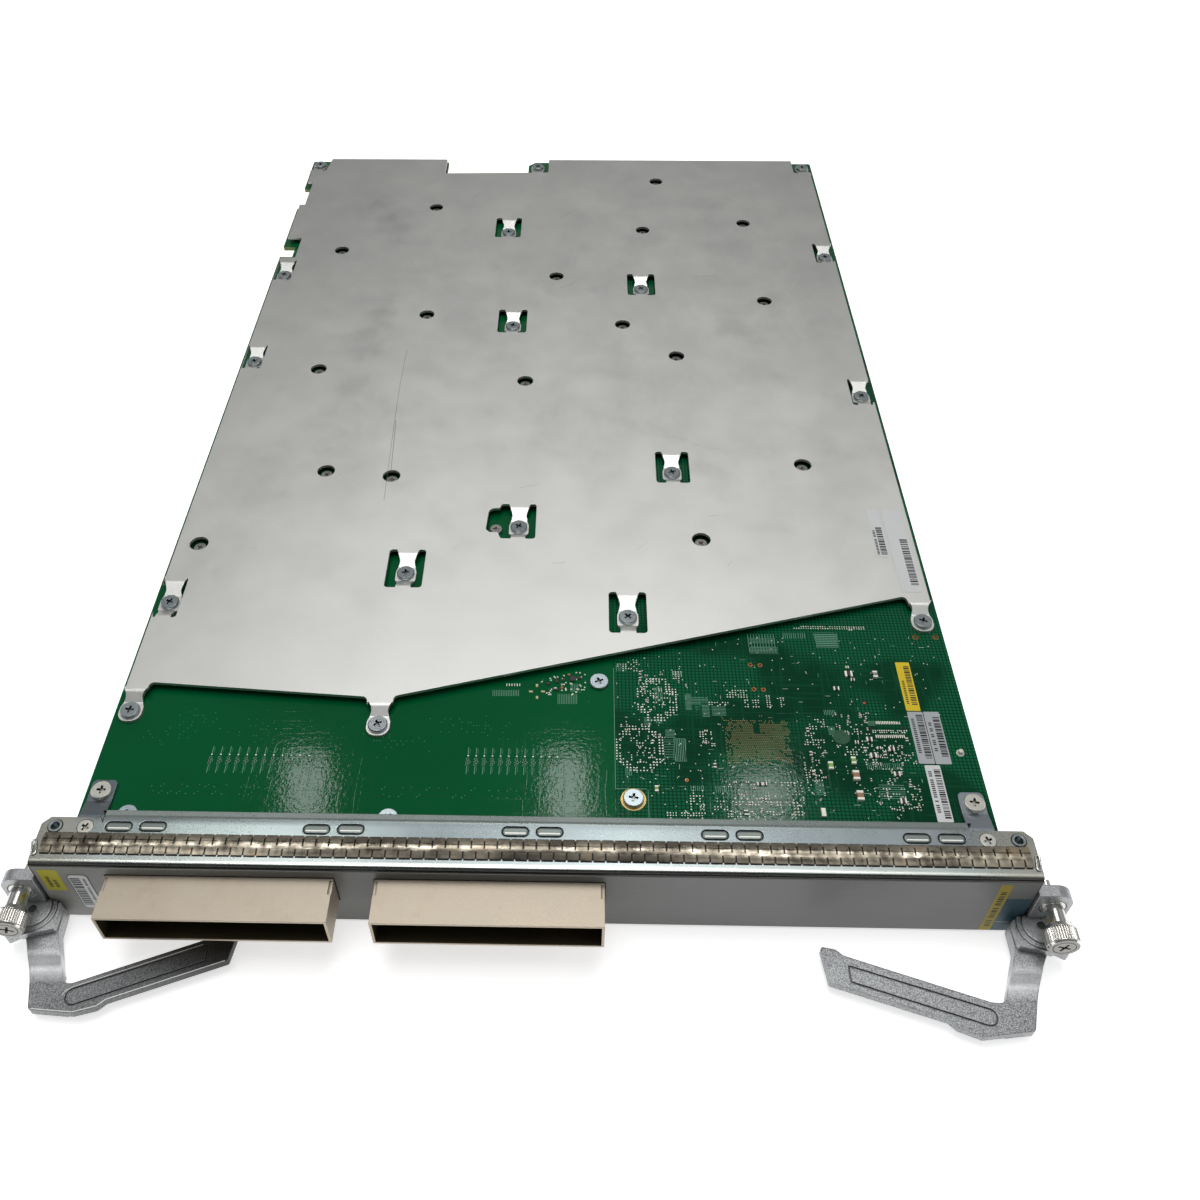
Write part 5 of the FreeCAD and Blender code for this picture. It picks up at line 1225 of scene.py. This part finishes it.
for _ in range(120):
    u, v = rnd.uniform(95, 1200), rnd.uniform(190, 820)
    if 470 < u < 730 and 430 < v < 640:
        continue
    x, y = crop(u, v)
    if not clear_spot(x, y, 5.5) or not clear_spot(x + 2, y + 2, 5.5):
        continue
    ln = rnd.uniform(0.8, 2.6)
    if rnd.random() < 0.5:
        b.bar(x, y, x + ln, y, 0, 0.18, 0.02, rnd.choice((0, 1, 1)))
    else:
        b.bar(x, y, x, y + ln, 0, 0.18, 0.02, rnd.choice((0, 1, 1)))
b.make()

# surface mounted parts
b = Build("surface_parts", [M_EPOXY, M_SOLDER, M_TAN, M_LEDGREEN, M_SCREW_DULL, M_PAD])


def two_end(x, y, lx, ly, h, body_mi, vertical=True, end=0.28):
    """A two-ended chip: body with solder ends."""
    if not clear_spot(x, y, 5.5):
        return
    if vertical:
        b.block(x, y, 0, lx, ly * (1 - 2 * end), h, body_mi)
        for s in (-1, 1):
            b.block(x, y + s * ly * (0.5 - end / 2), 0, lx * 1.04, ly * end, h * 0.96, 1)
    else:
        b.block(x, y, 0, lx * (1 - 2 * end), ly, h, body_mi)
        for s in (-1, 1):
            b.block(x + s * lx * (0.5 - end / 2), y, 0, lx * end, ly * 1.04, h * 0.96, 1)


for u, v, lx, ly, h, mi, ver in (
    (957, 672, 2.5, 4.2, 1.6, 2, True), (972, 745, 2.5, 4.2, 1.6, 2, True), (866, 635, 1.9, 3.4, 1.2, 3, True), (948, 617, 1.8, 3.2, 1.2, 3, True),
    (840, 805, 1.7, 3.6, 1.3, 1, True), (1025, 308, 1.9, 3.4, 1.3, 4, True), (240, 717, 1.4, 2.6, 0.9, 3, True),
    (886, 357, 2.4, 1.8, 0.9, 0, False), (930, 305, 3.2, 2.8, 1.0, 0, False), (925, 280, 1.4, 1.2, 0.7, 3, False), (795, 590, 1.1, 1.9, 0.6, 0, True),
    (783, 505, 1.1, 1.9, 0.6, 0, True), (450, 633, 1.1, 2.0, 0.6, 0, True), (1005, 540, 2.4, 2.0, 0.9, 0, False), (1020, 598, 2.6, 2.2, 0.9, 0, False),
    (1085, 575, 2.4, 2.0, 0.9, 0, False), (1105, 665, 2.6, 2.0, 0.9, 0, False), (1128, 762, 2.4, 2.4, 0.9, 0, False), (960, 550, 1.5, 1.5, 0.7, 0, False),
    (612, 700, 2.2, 1.4, 0.6, 0, False), (630, 700, 1.4, 1.4, 0.6, 0, False), (562, 803, 1.6, 2.2, 0.7, 0, True), (805, 660, 1.1, 1.8, 0.6, 0, True),
    (180, 300, 1.0, 1.8, 0.6, 0, True), (180, 322, 1.0, 1.8, 0.6, 0, True), (945, 325, 1.6, 1.4, 0.8, 0, False), (1040, 570, 1.5, 1.2, 0.7, 0, False),
    (1062, 590, 1.2, 1.8, 0.7, 0, True), (990, 575, 1.2, 1.8, 0.6, 0, True), (1140, 540, 1.2, 1.6, 0.6, 0, True),
):
    x, y = crop(u, v)
    two_end(x, y, lx, ly, h, mi, ver)
# a row of small resistors, capacitors scattered among the dots
for u0, v0, u1, v1, n in ((880, 440, 1000, 520, 16), (990, 560, 1180, 700, 26), (790, 560, 850, 740, 12), (95, 480, 260, 660, 12), (170, 300, 350, 470, 10), (500, 690, 760, 820, 18), (400, 500, 450, 560, 6), (1040, 690, 1200, 800, 16)):
    for _ in range(n):
        x, y = crop(rnd.uniform(u0, u1), rnd.uniform(v0, v1))
        two_end(x, y, 0.6, 1.25, 0.45, rnd.choice((0, 0, 2)), True) if rnd.random() < 0.6 else two_end(x, y, 1.25, 0.6, 0.45, rnd.choice((0, 0, 2)), False)
# fine pitch connector rows
for i in range(15):
    x, y = crop(1030 + i * 7.2, 528)
    b.block(x, y, 0, 0.42, 1.5, 0.3, 1)
    x, y = crop(1030 + i * 6.0, 480)
    b.block(x, y, 0, 0.36, 1.2, 0.3, 1)
# small parts beside the cover's slanted edge
def near(u, v):
    x, y = at(u, v)
    return (x, y) if not under_cover(x, y + 1.2) else (None, None)


for row, v in enumerate((678.5, 685.0)):
    for i in range(9):
        x, y = near(499 + i * 2.6, v)
        if x is not None and not (row == 0 and i < 2):
            b.block(x, y, 0, 0.42, 1.25, 0.3, 1)
for u, v, mi, lx, ly in (
    (537, 686, 5, 1.0, 1.5), (537, 698, 5, 1.0, 1.5), (531, 692, 5, 1.6, 0.9), (543, 692, 5, 1.6, 0.9),
    (552, 676, 0, 2.4, 1.6), (560, 671, 0, 1.8, 2.2), (557, 681, 0, 1.2, 2.4), (571, 668, 0, 2.2, 3.0), (577, 666, 0, 1.4, 2.2),
    (573, 679, 0, 2.6, 2.6), (564, 680, 0, 1.2, 1.6), (556, 690, 0, 2.0, 1.1), (562, 688, 2, 1.2, 1.1), (569, 675, 2, 1.2, 1.0),
    (579, 678, 0, 1.6, 1.4), (548, 684, 0, 1.4, 1.2), (566, 664, 0, 2.6, 1.4), (555, 666, 0, 1.4, 1.2),
):
    x, y = near(u, v)
    if x is not None:
        b.block(x, y, 0, lx, ly, 0.5, mi)
for i in range(86):
    x, y = near(rnd.uniform(541, 586), rnd.uniform(660, 695))
    if x is not None and math.hypot(x - 24.8, y - 89.9) > 4.6:
        b.block(x, y, 0, 0.62, 0.62, 0.25, 1)
b.make()

# rings, holes, the green round part, the white nub
b = Build("board_rings", [M_COPPER, M_SHADE_BLACK, M_BRASS, M_MASK_R, M_NUB, M_LEDGREEN])
for x, y in ((89.3, 100.6), (93.4, 100.5), (89.5, 87.6), (93.5, 87.4)):
    b.ring(x, y, 0, 0.55, 1.05, 0.05, 18, 0)
    b.disc(x, y, 0, 0.5, 0.02, 12, 1)
for x, y in ((162.6, 117.1), (171.3, 117.2)):
    b.ring(x, y, 0, 1.12, 1.42, 0.05, 20, 0)
b.ring(134.5, 81.4, 0, 0.6, 1.15, 0.05, 18, 1)
b.disc(134.5, 81.4, 0, 0.55, 0.03, 12, 0)
b.ring(58.9, 42.7, 0, 0.35, 0.8, 0.05, 14, 0)
b.ring(37.8, 33.6, 0, 3.9, 5.0, 0.05, 32, 2)
x, y = crop(905, 530)
b.disc(x, y, 0, 3.6, 0.25, 28, 3, 0.96)
for u, v in ((1005, 500), (1132, 500)):
    x, y = crop(u, v)
    b.ring(x, y, 0, 0.5, 1.1, 0.06, 14, 1)
x, y = 168.4, 57.1
b.disc(x, y, 0, 1.6, 0.15, 18, 4, 0.9)
b.disc(x, y, 0.15, 1.2, 1.5, 16, 4, 0.75)
b.make()

# border of the dense side
b = Build("mask_border", [M_SILK_D])
b.bar(31.0, 38.0, 31.0, 98.0, 0, 0.25, 0.02, 0)
b.bar(31.0, 38.4, 43.0, 38.4, 0, 0.25, 0.02, 0)
b.bar(43.6, 24.5, 43.6, 38.0, 0, 0.25, 0.02, 0)
b.make()

# ---- scratches on the cover -----------------------------------------------
b = Build("cover_scratches", [M_SCRATCH_L, M_SCRATCH_D])
ZC = 4.3


def scratch(pts, w, mi, z=ZC):
    loc = [at(u, v, z) for u, v in pts]
    for (xa, ya), (xb, yb) in zip(loc[:-1], loc[1:]):
        b.bar(xa, ya, xb, yb, z, w, 0.012, mi)


scratch([(407, 350), (400, 385), (394, 425), (390, 455), (384, 500)], 0.16, 1)
scratch([(396, 420), (391, 470)], 0.22, 1)
for seg in (
    [(640, 434), (690, 440)], [(652, 428), (700, 446)], [(690, 444), (735, 452)], [(610, 437), (655, 433)], [(745, 447), (792, 451)], [(752, 455), (800, 445)],
    [(745, 345), (772, 315), (800, 275)], [(752, 342), (780, 306)], [(636, 352), (645, 372)], [(690, 366), (712, 352)], [(712, 345), (720, 350)],
    [(486, 300), (500, 340)], [(770, 395), (800, 405)], [(322, 455), (340, 440)], [(250, 415), (262, 420)],
):
    scratch(seg, 0.14, 0)
r2 = random.Random(21)
for _ in range(90):
    u, v = r2.uniform(240, 850), r2.uniform(190, 600)
    a = r2.uniform(0, math.pi)
    ln = r2.uniform(4, 26)
    p = (u + math.cos(a) * ln, v + math.sin(a) * ln * 0.5)
    x0, y0 = at(u, v, ZC)
    x1, y1 = at(p[0], p[1], ZC)
    ok = True
    for x, y in ((x0, y0), (x1, y1)):
        if abs(x) > 155 or y > 520 or y < 145 or not ok:
            ok = False
        for hx, hy in (list([(-31.8, 451.6), (51.3, 386.4), (-24.0, 346.9), (61.8, 220.6), (-13.0, 180.8), (-63.4, 149.8), (37.6, 124.7)])):
            if math.hypot(x - hx, y - hy) < 16:
                ok = False
    if ok:
        b.bar(x0, y0, x1, y1, ZC, r2.uniform(0.05, 0.1), 0.010, 0 if r2.random() < 0.65 else 1)
b.make()

# ---- floor, lights, world -------------------------------------------------
me = bpy.data.meshes.new("floor")
s = 6.0
me.from_pydata([(-s, -s, 0), (s, -s, 0), (s, s, 0), (-s, s, 0)], [], [[0, 1, 2, 3]])
floor = bpy.data.objects.new("floor", me)
bpy.context.scene.collection.objects.link(floor)
k = Mat("floor_white", color=(0.9, 0.9, 0.9, 1), rough=0.9)
k.put("Base Color", k.ramp(k.noise(3.0, 2.0), [(0.3, (0.90, 0.90, 0.90, 1)), (0.7, (0.93, 0.93, 0.93, 1))]))
k.p.inputs["Specular IOR Level"].default_value = 0.1
k.p.inputs["Emission Color"].default_value = (1, 1, 1, 1)
k.p.inputs["Emission Strength"].default_value = 0.60
me.materials.append(k.done())


def area(name, target, direction, dist, size, size_y, power, color=(1, 1, 1)):
    d = bpy.data.lights.new(name, "AREA")
    d.shape = "RECTANGLE"
    d.size = size
    d.size_y = size_y
    d.energy = power
    d.color = color
    o = bpy.data.objects.new(name, d)
    bpy.context.scene.collection.objects.link(o)
    v = Vector(direction).normalized()
    o.location = Vector(target) + v * dist
    o.rotation_euler = (-v).to_track_quat("-Z", "Y").to_euler()
    return o


# lamps whose reflections fall on the board's front, each given by the middle
# of its reflection's lower, upper, left and right side
def mirrored(u, v, reach=1500.0):
    x, y = at(u, v)
    d = Vector((x - EYE.x, y - EYE.y, -EYE.z)).normalized()
    return L(x + d.x * reach, y + d.y * reach, -d.z * reach)


for i, (lo, up, lf, rt, power) in enumerate((
    ((297, 828), (316, 748), (280, 788), (328, 788), 36.0),
    ((560, 828), (574, 746), (541, 787), (586, 787), 37.0),
    ((761, 830), (764, 764), (728, 798), (798, 798), 31.0),
)):
    p_lo, p_up, p_lf, p_rt = [mirrored(*q) for q in (lo, up, lf, rt)]
    ax = p_rt - p_lf
    ay = p_up - p_lo
    x, y = at((lf[0] + rt[0]) / 2, (lo[1] + up[1]) / 2)
    away = ((p_lo + p_up) / 2 - L(x, y)).normalized()
    xd = (ax - away * ax.dot(away)).normalized()
    yd = away.cross(xd)
    d = bpy.data.lights.new("lamp_%d" % (i + 1), "AREA")
    d.shape = "RECTANGLE"
    d.size = ax.length * 0.84
    d.size_y = abs(ay.dot(yd)) * 0.82
    d.energy = power * d.size * d.size_y
    o = bpy.data.objects.new(d.name, d)
    bpy.context.scene.collection.objects.link(o)
    mw = Matrix.Identity(4)
    for j in range(3):
        mw[j][0], mw[j][1], mw[j][2] = xd[j], yd[j], away[j]
        mw[j][3] = ((p_lo + p_up) / 2)[j]
    o.matrix_world = mw
area("key_soft", (0, 0.05, 0), (-0.06, 0.06, 1.0), 2.2, 1.5, 1.1, 20.0)
area("key_right", (0, 0.0, 0), (0.9, -0.30, 0.9), 2.2, 0.9, 0.9, 3.0)
world = bpy.data.worlds.new("studio")
bpy.context.scene.world = world
world.use_nodes = True
wt = world.node_tree
bg = wt.nodes["Background"]
bg.inputs["Strength"].default_value = 1.0
tc = wt.nodes.new("ShaderNodeTexCoord")
sep = wt.nodes.new("ShaderNodeSeparateXYZ")
wt.links.new(tc.outputs["Generated"], sep.inputs[0])
rp = wt.nodes.new("ShaderNodeValToRGB")
cr = rp.color_ramp
for pos, v in ((0.0, 0.16), (0.25, 0.34), (0.50, 0.46), (0.64, 0.44), (0.73, 0.24), (0.86, 0.22), (0.92, 0.7), (1.0, 1.5)):
    if pos == 0.0:
        e = cr.elements[0]
    elif pos == 1.0:
        e = cr.elements[-1]
    else:
        e = cr.elements.new(pos)
    e.position = pos
    e.color = (v, v * 1.005, v * 1.01, 1)
wt.links.new(sep.outputs[2], rp.inputs["Fac"])
# the side behind the camera is dimmer
mr = wt.nodes.new("ShaderNodeMapRange")
mr.inputs["From Min"].default_value = -0.9
mr.inputs["From Max"].default_value = 0.25
mr.inputs["To Min"].default_value = 0.30
mr.inputs["To Max"].default_value = 1.0
wt.links.new(sep.outputs[1], mr.inputs["Value"])
mx = wt.nodes.new("ShaderNodeVectorMath")
mx.operation = "SCALE"
wt.links.new(rp.outputs["Color"], mx.inputs[0])
wt.links.new(mr.outputs["Result"], mx.inputs["Scale"])
wt.links.new(mx.outputs["Vector"], bg.inputs["Color"])
